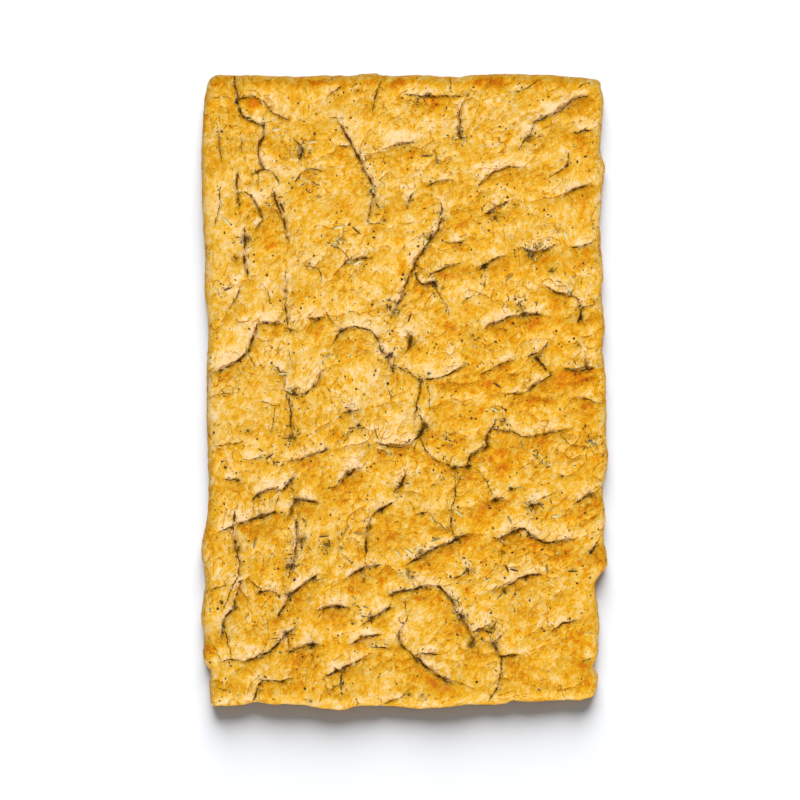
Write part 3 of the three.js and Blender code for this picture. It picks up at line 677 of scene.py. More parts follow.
# the oven baked some parts of the sheet more than others
BROWNED_PARTS = [(60, -10, 40, 90), (150, 0, 50, 60), (150, -250, 60, 60), (-160, 262, 44, 36)]
PALER_PARTS = [(-155, 70, 52, 120), (-160, -150, 48, 90), (90, 245, 70, 36), (-20, 40, 30, 120)]
PALE_SPOTS = [
    (-60, 247, 14, 9), (0, 228, 14, 8), (-25, 15, 12, 12), (0, -25, 12, 10), (165, 105, 10, 14),
    (-170, 160, 8, 26), (165, 281, 16, 6), (150, 255, 14, 8), (-170, -28, 8, 22),
    (-45, -66, 12, 8), (5, -200, 14, 12), (-100, 60, 12, 8), (-150, 60, 14, 8),
]
# where herbs lie in heaps: x and y
HEAPS = [
    (-93, 218), (-112, 168), (-101, -2), (-101, -40), (-50, -16), (-93, -135), (-103, -154),
    (-71, -137), (115, 124), (21, 138), (-13, 33), (87, -27), (46, -73), (116, -102), (47, -188),
    (78, -214), (18, -145), (170, -46), (-60, 133), (-14, 76), (61, 50), (124, -60), (-56, -40),
    (27, 96), (105, 74), (-143, 138), (-30, 180), (52, 228), (114, 230), (-40, -200), (158, 22),
    (38, -43), (-66, 34), (3, -165), (51, -203), (122, 132), (57, -160), (-165, 92), (80, 158),
    (-30, 212), (88, -178), (12, 262), (150, 95), (-88, 190), (-120, -60), (-5, -88), (100, -128),
]
print(len(BAKED_SPOTS + BROWNED_PARTS), "browned spots,",
      len(PALE_SPOTS + PALER_PARTS), "pale ones,", len(HEAPS), "heaps of herbs")

# %% [markdown]
# A few numbers are stored at each point of the crust, and the material reads them: how baked it is,
# with painted light and shade in that number, how much herb and oil stained it, with painted shade
# beside the creases and in the pits, how far it belongs to the underside, and how far it lies to
# the left or right of the nearest line, in millimetres. That last one is signed, so it runs evenly
# through nought where the line is, and the material can draw a line far finer than the faces are.

# %% What lies near each point of the crust
PIT_GONE = 9.0              # radii; no pit shows this far away

near = np.array([nearest_crease(v.co) for v in crust.verts])
line_side, strength, north = near[:, 0] / MM, near[:, 1], near[:, 2]
distance = np.abs(near[:, 0])
fold = np.zeros((len(crust.verts), 4))
for index, values in folds.items():
    fold[index] = values
big_side, big_mask, small_side, small_mask = fold.T
pit_away = np.array([from_pit(v.co) for v in crust.verts])
edge_away = np.array([from_edge(v.co) for v in crust.verts])
print("nearest crease at most", round(distance.max() / MM, 1), "mm away")

# %% Patches and spots
BROAD = (46 * MM, 11.3)     # size and seed
MEDIUM = (13 * MM, 4.9)
FINE = (5 * MM, 7.7)


def patches(size, seed):
    """Smooth noise at every point of the crust, about -1 to 1."""
    return np.array([noise.fractal((x / size, y / size, seed), 1.0, 2.0, 2) for x, y, z in places])


def spots(rows):
    """Soft oval spots of one strength, the strongest one at every point."""
    strongest = np.zeros(len(places))
    for x, y, half_x, half_y in rows:
        away = ((places[:, 0] / MM - x) / half_x) ** 2 + ((places[:, 1] / MM - y) / half_y) ** 2
        strongest = np.maximum(strongest, np.exp(-away))
    return strongest


broad, medium, fine = patches(*BROAD), patches(*MEDIUM), patches(*FINE)
print("medium patches from", round(medium.min(), 2), "to", round(medium.max(), 2))

# %% [markdown]
# Bake starts from a middle value and is moved by relief and patches. Painted light and shade go
# into it too: slopes that face the south lamp are painted paler and those that face north darker.
# The gentle flank north of each crease faces that lamp and is painted paler, partly crust that
# stayed pale and partly painted highlight; the lip south of it faces away and is painted browner,
# partly browning and partly painted shade. The rim and the side lay against hot metal and browned
# more evenly.

# %% How brown each point is, with painted light and shade
MIDDLE_BAKE = 0.46
CREST_BAKE = 0.11           # added where the crust stands up by CREST_FULL
CREST_FULL = 1.6 * MM
SLOPE_LIGHT_AND_SHADE = 0.13           # painted light and shade: taken off where it rises northwards by SLOPE_FULL and added where it falls, so south-facing slopes are paler and north-facing ones darker
SLOPE_FULL = 0.3
BROAD_WEIGHT, MEDIUM_WEIGHT, FINE_WEIGHT = 0.08, 0.17, 0.16
FLANK_PALE_AND_LIT = 0.20           # painted highlight and crust that stayed pale, taken off the flanks north of creases, which face the south lamp
FLANK_REACH = 7 * MM
FLANK_START = 0.25
LIP_BAKE_AND_SHADE = 0.15             # browning and painted shade, added to the lips south of creases, which face away from the lamp
LIP_REACH = 9 * MM
LIP_MIDDLE = 0.6            # of the reach
SPOT_BAKE, SPOT_PALE = 0.38, 0.2
SPOT_UNEVEN = (0.8, 0.6)    # in the middle, and how much the medium patches change it
PART_BAKE, PART_PALE = 0.1, 0.08
RIM_BAKE = (0.52, 0.40)
RIM_REACH = 9 * MM
SIDE_BAKE = (0.63, 0.22)
SIDE_LEVEL, SIDE_FADE = 15 * MM, 7 * MM

# the slope term is painted light and shade for a lamp in the south
bake_light_and_shade = (MIDDLE_BAKE + CREST_BAKE * np.clip(crest / CREST_FULL, -1, 1)
        - SLOPE_LIGHT_AND_SHADE * np.clip(slope / SLOPE_FULL, -1, 1)
        + BROAD_WEIGHT * broad + MEDIUM_WEIGHT * medium + FINE_WEIGHT * fine)
# flanks north of creases painted paler: partly unbrowned crust, partly painted highlight
bake_light_and_shade -= (FLANK_PALE_AND_LIT * np.sqrt(strength) * np.exp(-distance / FLANK_REACH)
         * np.clip(FLANK_START + north, 0, 1))
# lips south of creases painted browner: partly browning, partly painted shade
bake_light_and_shade += (LIP_BAKE_AND_SHADE * strength * np.exp(-((distance - LIP_REACH * LIP_MIDDLE) / LIP_REACH) ** 2)
         * np.clip(-north, 0, 1))
bake_light_and_shade += (SPOT_BAKE * spots(BAKED_SPOTS) * (SPOT_UNEVEN[0] + SPOT_UNEVEN[1] * medium)
         - SPOT_PALE * spots(PALE_SPOTS))
bake_light_and_shade += PART_BAKE * spots(BROWNED_PARTS) - PART_PALE * spots(PALER_PARTS)
rim = np.clip(1 - edge_away / RIM_REACH, 0, 1)
bake_light_and_shade = bake_light_and_shade * (1 - rim) + (RIM_BAKE[0] + RIM_BAKE[1] * medium) * rim
side = np.clip((SIDE_LEVEL - places[:, 2]) / SIDE_FADE, 0, 1)
bake_light_and_shade = bake_light_and_shade * (1 - side) + (SIDE_BAKE[0] + SIDE_BAKE[1] * medium) * side
print("bake_light_and_shade", np.round(np.percentile(bake_light_and_shade[upper], [5, 50, 95]), 2))

# %% [markdown]
# Oil and herb juice soaked into the dough beside the creases, under the heaps and in the pits, and
# left it olive. Beside the creases and in the pits that olive is also painted shade.

# %% How stained and shaded each point is, and what counts as underside
STAIN_AND_SHADE_REACH = 3.0 * MM
STAIN_AND_SHADE_LEVEL = 0.7
STAIN_AND_SHADE_UNEVEN = 0.9
HEAP_SIZE = (8, 7)
HEAP_DARK = 0.6
PIT_REACH = 1.7             # radii of a pit
PIT_SHADE = 0.9
LINE_SHOWS = 0.7            # below 1, weak lines show more than their depth says
UNDERSIDE_LEVEL, UNDERSIDE_FADE = 3.2 * MM, 2.4 * MM

# olive beside the creases: partly stain, partly painted shade
stain_and_shade = (np.sqrt(strength) * np.exp(-distance / STAIN_AND_SHADE_REACH)
         * np.clip(STAIN_AND_SHADE_LEVEL + STAIN_AND_SHADE_UNEVEN * medium, 0, 1))
stain_and_shade = np.maximum(stain_and_shade, HEAP_DARK * spots([heap + HEAP_SIZE for heap in HEAPS])
                   * np.clip(STAIN_AND_SHADE_LEVEL + fine, 0, 1))
# olive in the pits: painted shade
stain_and_shade = np.maximum(stain_and_shade, PIT_SHADE * np.exp(-(pit_away / PIT_REACH) ** 2))
underside = np.clip((UNDERSIDE_LEVEL - places[:, 2]) / UNDERSIDE_FADE, 0, 1)
line_strength = strength ** LINE_SHOWS
for values in (stain_and_shade, line_strength, big_mask, small_mask):
    values[~upper] = 0
pit_away[~upper] = PIT_GONE
print("stained on average", round(stain_and_shade[upper].mean(), 2))

# %% [markdown]
# So far the crust was a mesh in the making, which no scene shows. Now it becomes an object, and
# the numbers go with it as attributes, which a material can ask for by name.

# %% Make the crust's object
def new_object(name, bm):
    mesh = bpy.data.meshes.new(name)
    bm.to_mesh(mesh)
    piece = bpy.data.objects.new(name, mesh)
    bpy.context.scene.collection.objects.link(piece)
    for polygon in mesh.polygons:
        polygon.use_smooth = True
    return piece


def store(piece, name, values):
    attribute = piece.data.attributes.new(name, "FLOAT", "POINT")
    attribute.data.foreach_set("value", np.asarray(values, dtype=np.float32))


crust_piece = new_object("crust", crust)
for name, values in (
        ("bake_light_and_shade", bake_light_and_shade), ("stain_and_shade", stain_and_shade), ("underside", underside),
        ("line_side", line_side), ("line_away", np.abs(line_side)),
        ("line_strength", line_strength), ("pit_away", np.minimum(pit_away, PIT_GONE)),
        ("big_fold", big_side), ("big_fold_strength", big_mask),
        ("small_fold", small_side), ("small_fold_strength", small_mask)):
    store(crust_piece, name, values)
print("crust:", len(crust_piece.data.polygons), "triangles")

# %% [markdown]
# Crust and herbs share one effect: small uneven patches that are drawn out one way, as
# stretched dough and dried leaves both have. It is a node group with named inputs, so that each
# material can set its own size and stretch. It gives out a value only; the shaders stay in
# the materials.

# %% A node group for drawn-out patches
PATCH_ROUGHNESS = 0.55      # how much of the finer patches the noise mixes in


def add(tree, kind, **settings):
    """Adds a node, sets its properties, and its inputs by name through inputs=."""
    inputs = settings.pop("inputs", {})
    made = tree.nodes.new(kind)
    for name, value in settings.items():
        setattr(made, name, value)
    for name, value in inputs.items():
        if isinstance(value, bpy.types.NodeSocket):
            tree.links.new(value, made.inputs[name])
        else:
            made.inputs[name].default_value = value
    return made


def calc(tree, operation, a, b=0.0, clamp=False):
    return add(tree, "ShaderNodeMath", operation=operation, use_clamp=clamp,
               inputs={0: a, 1: b}).outputs[0]


def mixed(tree, factor, a, b):
    made = add(tree, "ShaderNodeMix", data_type="RGBA", blend_type="MIX", clamp_factor=True)
    for index, value in ((0, factor), (6, a), (7, b)):
        if isinstance(value, bpy.types.NodeSocket):
            tree.links.new(value, made.inputs[index])
        else:
            made.inputs[index].default_value = value
    return made.outputs[2]


def build_drawn_patches():
    group = bpy.data.node_groups.new("drawn_patches", "ShaderNodeTree")
    number = "NodeSocketFloat"
    for name, value in (("Size", 3 * MM), ("Stretch", 3.0), ("Turn", 0.0), ("Detail", 3.0)):
        socket = group.interface.new_socket(name=name, in_out="INPUT", socket_type=number)
        socket.default_value = value
    group.interface.new_socket(name="Value", in_out="OUTPUT", socket_type=number)
    given = add(group, "NodeGroupInput")
    where = add(group, "ShaderNodeTexCoord").outputs["Object"]
    turned = add(group, "ShaderNodeVectorRotate", rotation_type="Z_AXIS",
                 inputs={"Vector": where, "Angle": given.outputs["Turn"]}).outputs[0]
    finer = calc(group, "DIVIDE", 1.0, given.outputs["Size"])
    drawn_out = calc(group, "DIVIDE", finer, given.outputs["Stretch"])
    squeeze = add(group, "ShaderNodeCombineXYZ",
                  inputs={"X": finer, "Y": drawn_out, "Z": finer}).outputs[0]
    scaled = add(group, "ShaderNodeVectorMath", operation="MULTIPLY",
                 inputs={0: turned, 1: squeeze}).outputs[0]
    pattern = add(group, "ShaderNodeTexNoise", inputs={
        "Vector": scaled, "Scale": 1.0, "Detail": given.outputs["Detail"],
        "Roughness": PATCH_ROUGHNESS})
    add(group, "NodeGroupOutput", inputs={"Value": pattern.outputs["Fac"]})
    return group


drawn_patches = build_drawn_patches()


def patches_in(tree, size, stretch, turn, detail):
    made = add(tree, "ShaderNodeGroup", node_tree=drawn_patches,
               inputs={"Size": size, "Stretch": stretch, "Turn": turn, "Detail": detail})
    return made.outputs["Value"]


print("group", drawn_patches.name)

# %% [markdown]
# The crust's colour runs along one ramp, from raw cream over gold to the red brown of the darkest
# blisters. Bake, with the painted light and shade in it, moves a place along it, and patches of
# four sizes move it a little more. The finest but one are streaks, along the sheet in some parts
# and along the pull in others, because oil brushed over the dough browned in streaks.

# %% Colours as a baker would name them
def srgb(red, green, blue):
    """A colour picked by eye, 0 to 255, as the linear colour that a shader wants."""
    def linear(value):
        value /= 255
        return value / 12.92 if value <= 0.04045 else ((value + 0.055) / 1.055) ** 2.4
    return (linear(red), linear(green), linear(blue), 1)


CREAM = srgb(255, 220, 164)
STRAW = srgb(247, 203, 111)
GOLD = srgb(242, 184, 46)
AMBER = srgb(234, 160, 10)
RUSSET = srgb(222, 120, 4)
# the next four colours are partly the crust's own and partly painted shade in creases, folds and
# pits
STAINED_AND_SHADED = srgb(178, 132, 22)
CRACKED_AND_SHADED = srgb(94, 58, 10)
SCORCHED_AND_SHADED = srgb(66, 38, 6)
TORN_AND_SHADED = srgb(176, 106, 14)
OVEN_BROWN = srgb(196, 128, 44)
BAKE_COLOURS = ((0.04, CREAM), (0.28, STRAW), (0.50, GOLD), (0.75, AMBER), (1.0, RUSSET))


def ramp(tree, value, stops):
    made = add(tree, "ShaderNodeValToRGB", inputs={"Fac": value})
    elements = made.color_ramp.elements
    while len(elements) < len(stops):
        elements.new(0.5)       # its real place comes below
    for element, (position, colour) in zip(elements, stops):
        element.position = position
        element.color = colour
    return made.outputs["Color"]


def new_material(name):
    material = bpy.data.materials.new(name)
    material.use_nodes = True
    tree = material.node_tree
    return material, tree, tree.nodes["Principled BSDF"]


print("gold in linear light", [round(c, 3) for c in GOLD])

# %% [markdown]
# A line is drawn out of a stored distance: the shader shows its colour where that number is
# near nought. It costs no faces, and its breadth can change along the way.

# %% A line along a signed distance
LINE_CORE = 0.4             # share of its breadth over which a line is at its darkest


def drawn_line(tree, side, breadth):
    """1 on the line, 0 beside it, with soft edges."""
    return add(tree, "ShaderNodeMapRange", interpolation_type="SMOOTHSTEP", inputs={
        "Value": calc(tree, "ABSOLUTE", side), "From Min": breadth,
        "From Max": calc(tree, "MULTIPLY", breadth, LINE_CORE),
        "To Min": 0.0, "To Max": 1.0}).outputs[0]


def spread(tree, value, low, high, to_low=0.0, to_high=1.0):
    """Stretches the values between low and high to a new range."""
    return add(tree, "ShaderNodeMapRange", inputs={
        "Value": value, "From Min": low, "From Max": high,
        "To Min": to_low, "To Max": to_high}).outputs[0]


print("core of a line 1 mm broad:", LINE_CORE, "mm")

# %% Bake and stain as a colour
# size, stretch, turn and detail of each kind of patch
LONG_STREAKS = (1.5 * MM, 3.6, 0.0, 3.0)
PULLED_STREAKS = (1.7 * MM, 3.0, math.pi / 2 - PULL, 3.0)
BLOTCHES = (5 * MM, 1.3, 0.4, 3.0)
FLECKS = (2.2 * MM, 1.3, 0.9, 2.0)
GRAIN = (0.8 * MM, 1.6, 0.2, 2.0)
PULLED_PARTS = (60 * MM, 1.0, 0.0, 0.0)     # where the streaks run along the pull
PULLED_EDGE = (0.42, 0.58)
NOISE_MIDDLE = 0.5
# how far streaks, blotches, flecks and grain swing about the middle, and what that does to bake
SWINGS = ((0.14, 0.26), (0.12, 0.26), (0.14, 0.22), (0.2, 0.24))
STAIN_AND_SHADE_FLECKED = (0.36, 0.64, 0.2, 1.6)      # from these values of the flecks to these shares
STAIN_AND_SHADE_COVER = 0.68          # of 1, which would hide the bread's own colour


def stored(tree, name):
    return add(tree, "ShaderNodeAttribute", attribute_name=name).outputs["Fac"]


def baked_colour(tree, streaks, blotches, flecks, grain):
    """The ramp of bake with its painted light and shade, and the stain with its painted shade laid
    over it.
    """
    bake_light_and_shade_here = stored(tree, "bake_light_and_shade")
    for value, (half_width, weight) in zip((streaks, blotches, flecks, grain), SWINGS):
        shift = spread(tree, value, NOISE_MIDDLE - half_width, NOISE_MIDDLE + half_width,
                       -weight / 2, weight / 2)
        bake_light_and_shade_here = calc(tree, "ADD", bake_light_and_shade_here, shift)
    stain_and_shade_here = calc(tree, "MULTIPLY", stored(tree, "stain_and_shade"), spread(tree, flecks, *STAIN_AND_SHADE_FLECKED),
                      clamp=True)
    return mixed(tree, calc(tree, "MULTIPLY", stain_and_shade_here, STAIN_AND_SHADE_COVER),
                 ramp(tree, bake_light_and_shade_here, BAKE_COLOURS), STAINED_AND_SHADED)


print("patches of", [kind[0] / MM for kind in (LONG_STREAKS, PULLED_STREAKS, BLOTCHES, FLECKS,
                                               GRAIN)], "mm")

# %% The line of a crease
LINE_BREAKS = (7 * MM, 1.0, 0.0, 1.0)       # stretches over which a line is dark or faint
LINE_BREADTH = (0.35, 0.65, 0.45, 1.45)     # from these values of the blotches to millimetres
LEAST_BREADTH = 0.26        # share of it that the weakest line has
LINE_END = (3.2, 2.0)       # millimetres from a line where it is gone and where it is full
LINE_CONTRAST = 4.0
LINE_FAINT = (0.4, 0.55, 0.4, 1.0)
LINE_DARK = (0.05, 0.5)     # strengths at which a line takes its lighter and its darker colour of crust and painted shade


def crack_line(tree, waver, blotches):
    """How much of the nearest crease's line shows, and in which colour: partly crust that baked
    darker, partly painted shade in the crease.
    """
    strength_here = stored(tree, "line_strength")
    breadth = calc(tree, "MULTIPLY", spread(tree, blotches, *LINE_BREADTH),
                   calc(tree, "ADD", strength_here, LEAST_BREADTH))
    line = drawn_line(tree, calc(tree, "ADD", stored(tree, "line_side"), waver), breadth)
    broken_up = patches_in(tree, *LINE_BREAKS)
    for share in (spread(tree, stored(tree, "line_away"), *LINE_END),
                  calc(tree, "MULTIPLY", strength_here, LINE_CONTRAST, clamp=True),
                  spread(tree, broken_up, *LINE_FAINT)):
        line = calc(tree, "MULTIPLY", line, share)
    return line, mixed(tree, spread(tree, strength_here, *LINE_DARK), TORN_AND_SHADED, CRACKED_AND_SHADED)


print("the strongest lines are at most", LINE_BREADTH[3] * (1 + LEAST_BREADTH), "mm to a side")

# %% [markdown]
# Fold lines, cracks and pits lie on top of the bake and the stain, the darkest last: painted shade
# along the folds, and in the cracks and pits partly darker crust and partly painted shade. The
# crust is satin: olive oil soaked in, so it has a soft gloss that the finest patches break up.

# %% The crust's material
LINE_WAVER = 3.0            # millimetres that a line strays to either side, at most half of it
# fold lines: painted shade drawn along the folds of the crumples
FOLD_BREADTH = 0.7
FOLD_SHOWN = (0.38, 0.54)   # values of the blotches where a fold is hidden and where it shows
FOLD_COVERS = (("big_fold", 0.9), ("small_fold", 0.7))
# pits are darkened with a colour that is partly scorched crust, partly painted shade
PIT_RAGGED = (0.3, 0.7, -0.7, 0.9)          # from values of the flecks to radii of a pit
PIT_FADE = (1.0, 0.5)       # radii from a pit's middle where it is gone and where it is full
PIT_COVER = 0.85
ROUGHNESS = (0.46, 0.72)
RELIEF = (0.66, 0.8 * MM)   # strength and height of the finest relief
GRAIN_HEIGHT, LINE_HEIGHT = 0.5, 0.5
SPECULAR = 0.06
COAT = (0.6, 0.7, 0.0, 0.6)     # from values of the grain to how much oil lies on top
COAT_ROUGHNESS = 0.3


def build_crust_material():
    material, tree, shader = new_material("baked_crust")
    long_streaks, pulled_streaks, blotches, flecks, grain, pulled_parts = [
        patches_in(tree, *kind)
        for kind in (LONG_STREAKS, PULLED_STREAKS, BLOTCHES, FLECKS, GRAIN, PULLED_PARTS)]
    streaks = add(tree, "ShaderNodeMix", data_type="FLOAT", inputs={
        0: spread(tree, pulled_parts, *PULLED_EDGE), 2: long_streaks, 3: pulled_streaks}).outputs[0]
    colour = baked_colour(tree, streaks, blotches, flecks, grain)

    waver = calc(tree, "MULTIPLY", calc(tree, "SUBTRACT", pulled_streaks, NOISE_MIDDLE), LINE_WAVER)
    # painted shade along each fold
    for kind, cover in FOLD_COVERS:
        fold_here = drawn_line(tree, calc(tree, "ADD", stored(tree, kind), waver), FOLD_BREADTH)
        shown = calc(tree, "MULTIPLY", stored(tree, kind + "_strength"),
                     spread(tree, blotches, *FOLD_SHOWN))
        fold_here = calc(tree, "MULTIPLY", fold_here, calc(tree, "MULTIPLY", shown, cover))
        colour = mixed(tree, fold_here, colour, TORN_AND_SHADED)
    # the crack's line: partly darker crust, partly painted shade in the crease
    line, line_colour = crack_line(tree, waver, blotches)
    colour = mixed(tree, line, colour, line_colour)
    # the pit's colour: partly scorched crust, partly painted shade in the hollow
    pit_edge = calc(tree, "ADD", stored(tree, "pit_away"), spread(tree, flecks, *PIT_RAGGED))
    pit = spread(tree, pit_edge, *PIT_FADE)
    colour = mixed(tree, calc(tree, "MULTIPLY", pit, PIT_COVER), colour, SCORCHED_AND_SHADED)
    colour = mixed(tree, stored(tree, "underside"), colour,
                   mixed(tree, blotches, OVEN_BROWN, AMBER))
    tree.links.new(colour, shader.inputs["Base Color"])

    height = calc(tree, "ADD", calc(tree, "MULTIPLY", grain, GRAIN_HEIGHT), long_streaks)
    height = calc(tree, "ADD", height, calc(tree, "ADD", pulled_streaks, flecks))
    height = calc(tree, "SUBTRACT", height, calc(tree, "MULTIPLY", line, LINE_HEIGHT))
    bump = add(tree, "ShaderNodeBump", inputs={
        "Strength": RELIEF[0], "Distance": RELIEF[1], "Height": height}).outputs[0]
    tree.links.new(bump, shader.inputs["Normal"])
    tree.links.new(spread(tree, blotches, 0, 1, *ROUGHNESS), shader.inputs["Roughness"])
    tree.links.new(spread(tree, grain, *COAT), shader.inputs["Coat Weight"])
    shader.inputs["Coat Roughness"].default_value = COAT_ROUGHNESS
    shader.inputs["Specular IOR Level"].default_value = SPECULAR
    return material


crust_piece.data.materials.append(build_crust_material())
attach(crust_piece, "root")
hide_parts(NODE)
print("crust has", crust_piece.data.materials[0].name)

# %% [markdown]
# A rosemary needle is a narrow leaf with rolled edges: about ten times as long as wide,
# blunt at the stem, pointed at the tip, with a groove along its upper side. Each starts as a
# small sphere, which is drawn out along the needle, and its upper middle is pressed in. Its
# points then follow the crust, so that it lies on the bread like something that sank a
# little into the dough before it baked.

# %% A helper that lays one leaf on the crust
ABOVE = 0.1                 # a ray starts this high over the bread
TAPER = 0.35                # how much narrower a leaf is at its tip
GROOVE_DEPTH = 0.35         # share of half the thickness
GROOVE_NARROWNESS = 2.2


def crust_height(x, y):
    hit = crust_tree.ray_cast(Vector((x, y, ABOVE)), Vector((0, 0, -1)))[0]
    return hit.z if hit else None


def leaf_shape(sides, rings):
    """A small sphere, made once and stamped for every leaf."""
    bm = bmesh.new()
    bmesh.ops.create_uvsphere(bm, u_segments=sides, v_segments=rings, radius=1)
    shape = bpy.data.meshes.new("leaf_shape")
    bm.to_mesh(shape)
    bm.free()
    return shape


def lay_leaf(bm, shape, start, end, width, thickness, lift):
    """Stamps one leaf between two places and returns its points, or none off the bread."""
    along = end - start
    heading = math.atan2(along.y, along.x)
    middle = (start + end) / 2
    middle_ground = crust_height(middle.x, middle.y)
    if middle_ground is None:
        return []
    before = len(bm.verts)
    bm.from_mesh(shape)
    bm.verts.ensure_lookup_table()
    made = bm.verts[before:]
    turn = Matrix.Rotation(heading, 3, "Z")
    for vert in made:
        x, y, z = vert.co.z, vert.co.x, vert.co.y
        blunt = 1 if x < 0 else 1 - TAPER * x
        groove = GROOVE_DEPTH * max(0, 1 - abs(y) * GROOVE_NARROWNESS) if z > 0 else 0
        placed = turn @ Vector((x * along.length / 2, y * blunt * width / 2, 0))
        px, py = middle.x + placed.x, middle.y + placed.y
        ground = crust_height(px, py)
        if ground is None or abs(ground - middle_ground) > along.length:
            ground = middle_ground
        vert.co = (px, py, ground + lift + (z - groove) * thickness / 2)
    return made


def leaf_piece(name, bm, tones):
    """Makes the stamped leaves into one piece, with a tone at every point."""
    bmesh.ops.recalc_face_normals(bm, faces=bm.faces[:])
    piece = new_object(name, bm)
    store(piece, "tone", tones)
    return piece


print("the crust's height in the middle", round(crust_height(0, 0) / MM, 1), "mm")

# %% The larger needles
NEEDLE_WIDTH = 1.7 * MM
WIDTH_SHARES = (0.85, 0.3)  # the least, and how much more it may be
NEEDLE_THICKNESS = 1.3 * MM
NEEDLE_LIFT = 0.5 * MM
NEEDLE_TONES = ((PALE_NEEDLES, 0.85), (GREY_NEEDLES, 0.5), (CHARRED_NEEDLES, 0.12))
TONE_SPREAD = 0.12


def make_needles():
    bm = bmesh.new()
    shape = leaf_shape(8, 7)
    tones = []
    for group, tone in NEEDLE_TONES:
        for ends in group:
            start, end = needle_line(ends)
            own_tone = tone + TONE_SPREAD * (rng.random() - 0.5)
            width = NEEDLE_WIDTH * (WIDTH_SHARES[0] + WIDTH_SHARES[1] * rng.random())
            made = lay_leaf(bm, shape, start, end, width, NEEDLE_THICKNESS, NEEDLE_LIFT)
            tones += [own_tone] * len(made)
    return leaf_piece("rosemary_needles", bm, tones)


needles_piece = make_needles()
print("needles:", len(needles_piece.data.polygons), "faces")

# %% [markdown]
# Most of the herb lies in the creases, where brushing swept it, and in a few heaps: short broken
# needles, some bleached, some charred. Smaller flakes are strewn all over. Both are scattered by
# a seeded random draw: broken needles near creases, turned roughly along them, or around the
# middle of a heap, and flakes anywhere.

# %% Broken needles along the creases and in heaps
# lengths in millimetres, angles in radians
HEAP_SPREAD = 6.5
HEAP_SHARE = 0.62
BROKEN_COUNT = 1150
BROKEN_LENGTH = (1.4, 5.5)
MOSTLY_SHORT = 1.8          # the higher, the fewer long ones
BROKEN_WIDTH = (0.7, 1.3)
BROKEN_LIFT = 0.3           # share of the width
BROKEN_SPREAD = 2.2
BROKEN_TURN = 0.5
STRONG_FIRST = 1.3          # above 1, strong creases get more than their share
BROKEN_TONES = (0.08, 0.2, 0.34, 0.45, 0.6, 0.85)


def make_broken():
    bm = bmesh.new()
    shape = leaf_shape(6, 5)
    tones = []
    weights = np.array([s[2] for s in samples]) ** STRONG_FIRST
    chosen = rng.choice(len(samples), BROKEN_COUNT, p=weights / weights.sum())
    for index in chosen:
        if rng.random() < HEAP_SHARE:
            heap = HEAPS[rng.integers(len(HEAPS))]
            middle = Vector(heap) * MM + Vector(rng.normal(0, HEAP_SPREAD * MM, 2))
            heading = rng.uniform(0, math.pi)
        else:
            x, y, strength, along_x, along_y = samples[index]
            middle = Vector((x, y)) + Vector(rng.normal(0, BROKEN_SPREAD * MM, 2))
            heading = math.atan2(along_y, along_x) + rng.normal(0, BROKEN_TURN)
        length = (BROKEN_LENGTH[0]
                  + (BROKEN_LENGTH[1] - BROKEN_LENGTH[0]) * rng.random() ** MOSTLY_SHORT)
        half = Vector((math.cos(heading), math.sin(heading))) * length * MM / 2
        width = rng.uniform(*BROKEN_WIDTH) * MM
        made = lay_leaf(bm, shape, middle - half, middle + half, width, width,
                        width * BROKEN_LIFT)
        tones += [BROKEN_TONES[rng.integers(len(BROKEN_TONES))]] * len(made)
    return leaf_piece("broken_needles", bm, tones)


broken_piece = make_broken()
print("broken needles:", len(broken_piece.data.polygons), "faces")

# %% Flakes all over the crust
FLAKE_COUNT = 1900
FLAKE_SIZE = (0.8, 2.6)
FLAKE_WIDTH = (0.35, 0.9)   # shares of the length
FLAKE_THICKNESS, FLAKE_LIFT = 0.6, 0.15     # shares of the width
DARK_SHARE, DARK_TONE = 0.7, 0.02
OTHER_TONES = (0.1, 0.9)
FLAKE_RAGGED = 0.35         # how far a flake's points stray from an oval, as a share of its size
EDGE_CLEARANCE = 8 * MM


def make_specks():
    bm = bmesh.new()
    shape = leaf_shape(5, 4)
    tones = []
    half_x = cad_box[1][0] - EDGE_CLEARANCE
    half_y = cad_box[1][1] - EDGE_CLEARANCE
    for _ in range(FLAKE_COUNT):
        middle = Vector((rng.uniform(-half_x, half_x), rng.uniform(-half_y, half_y)))
        heading = rng.uniform(0, math.pi)
        length = (FLAKE_SIZE[0] + (FLAKE_SIZE[1] - FLAKE_SIZE[0]) * rng.random() ** 2) * MM
        half = Vector((math.cos(heading), math.sin(heading))) * length / 2
        width = length * rng.uniform(*FLAKE_WIDTH)
        made = lay_leaf(bm, shape, middle - half, middle + half, width, width * FLAKE_THICKNESS,
                        width * FLAKE_LIFT)
        for vert in made:
            vert.co += Vector(rng.normal(0, FLAKE_RAGGED * width / 2, 3))
        tones += [DARK_TONE if rng.random() < DARK_SHARE else rng.uniform(*OTHER_TONES)] * len(made)
    return leaf_piece("herb_specks", bm, tones)


specks_piece = make_specks()
print("specks:", len(specks_piece.data.polygons), "faces")

# %% [markdown]
# All herbs share one material. It reads how far each leaf baked, from charred over dried brown
# and grey green to bleached straw, and fine fibres vary that tone along the leaf.

# %% The herbs' material
CHARRED = srgb(66, 34, 14)
DRIED = srgb(128, 92, 44)
GREY_GREEN = srgb(160, 154, 104)
BLEACHED = srgb(234, 236, 176)
TONE_COLOURS = ((0.12, CHARRED), (0.34, DRIED), (0.58, GREY_GREEN), (0.86, BLEACHED))
FIBRE = (0.5 * MM, 2.0, 0.3, 3.0)       # size, stretch, turn and detail
FIBRE_SHIFT = 0.35
HERB_ROUGHNESS = 0.6
HERB_RELIEF = (0.4, 0.2 * MM)


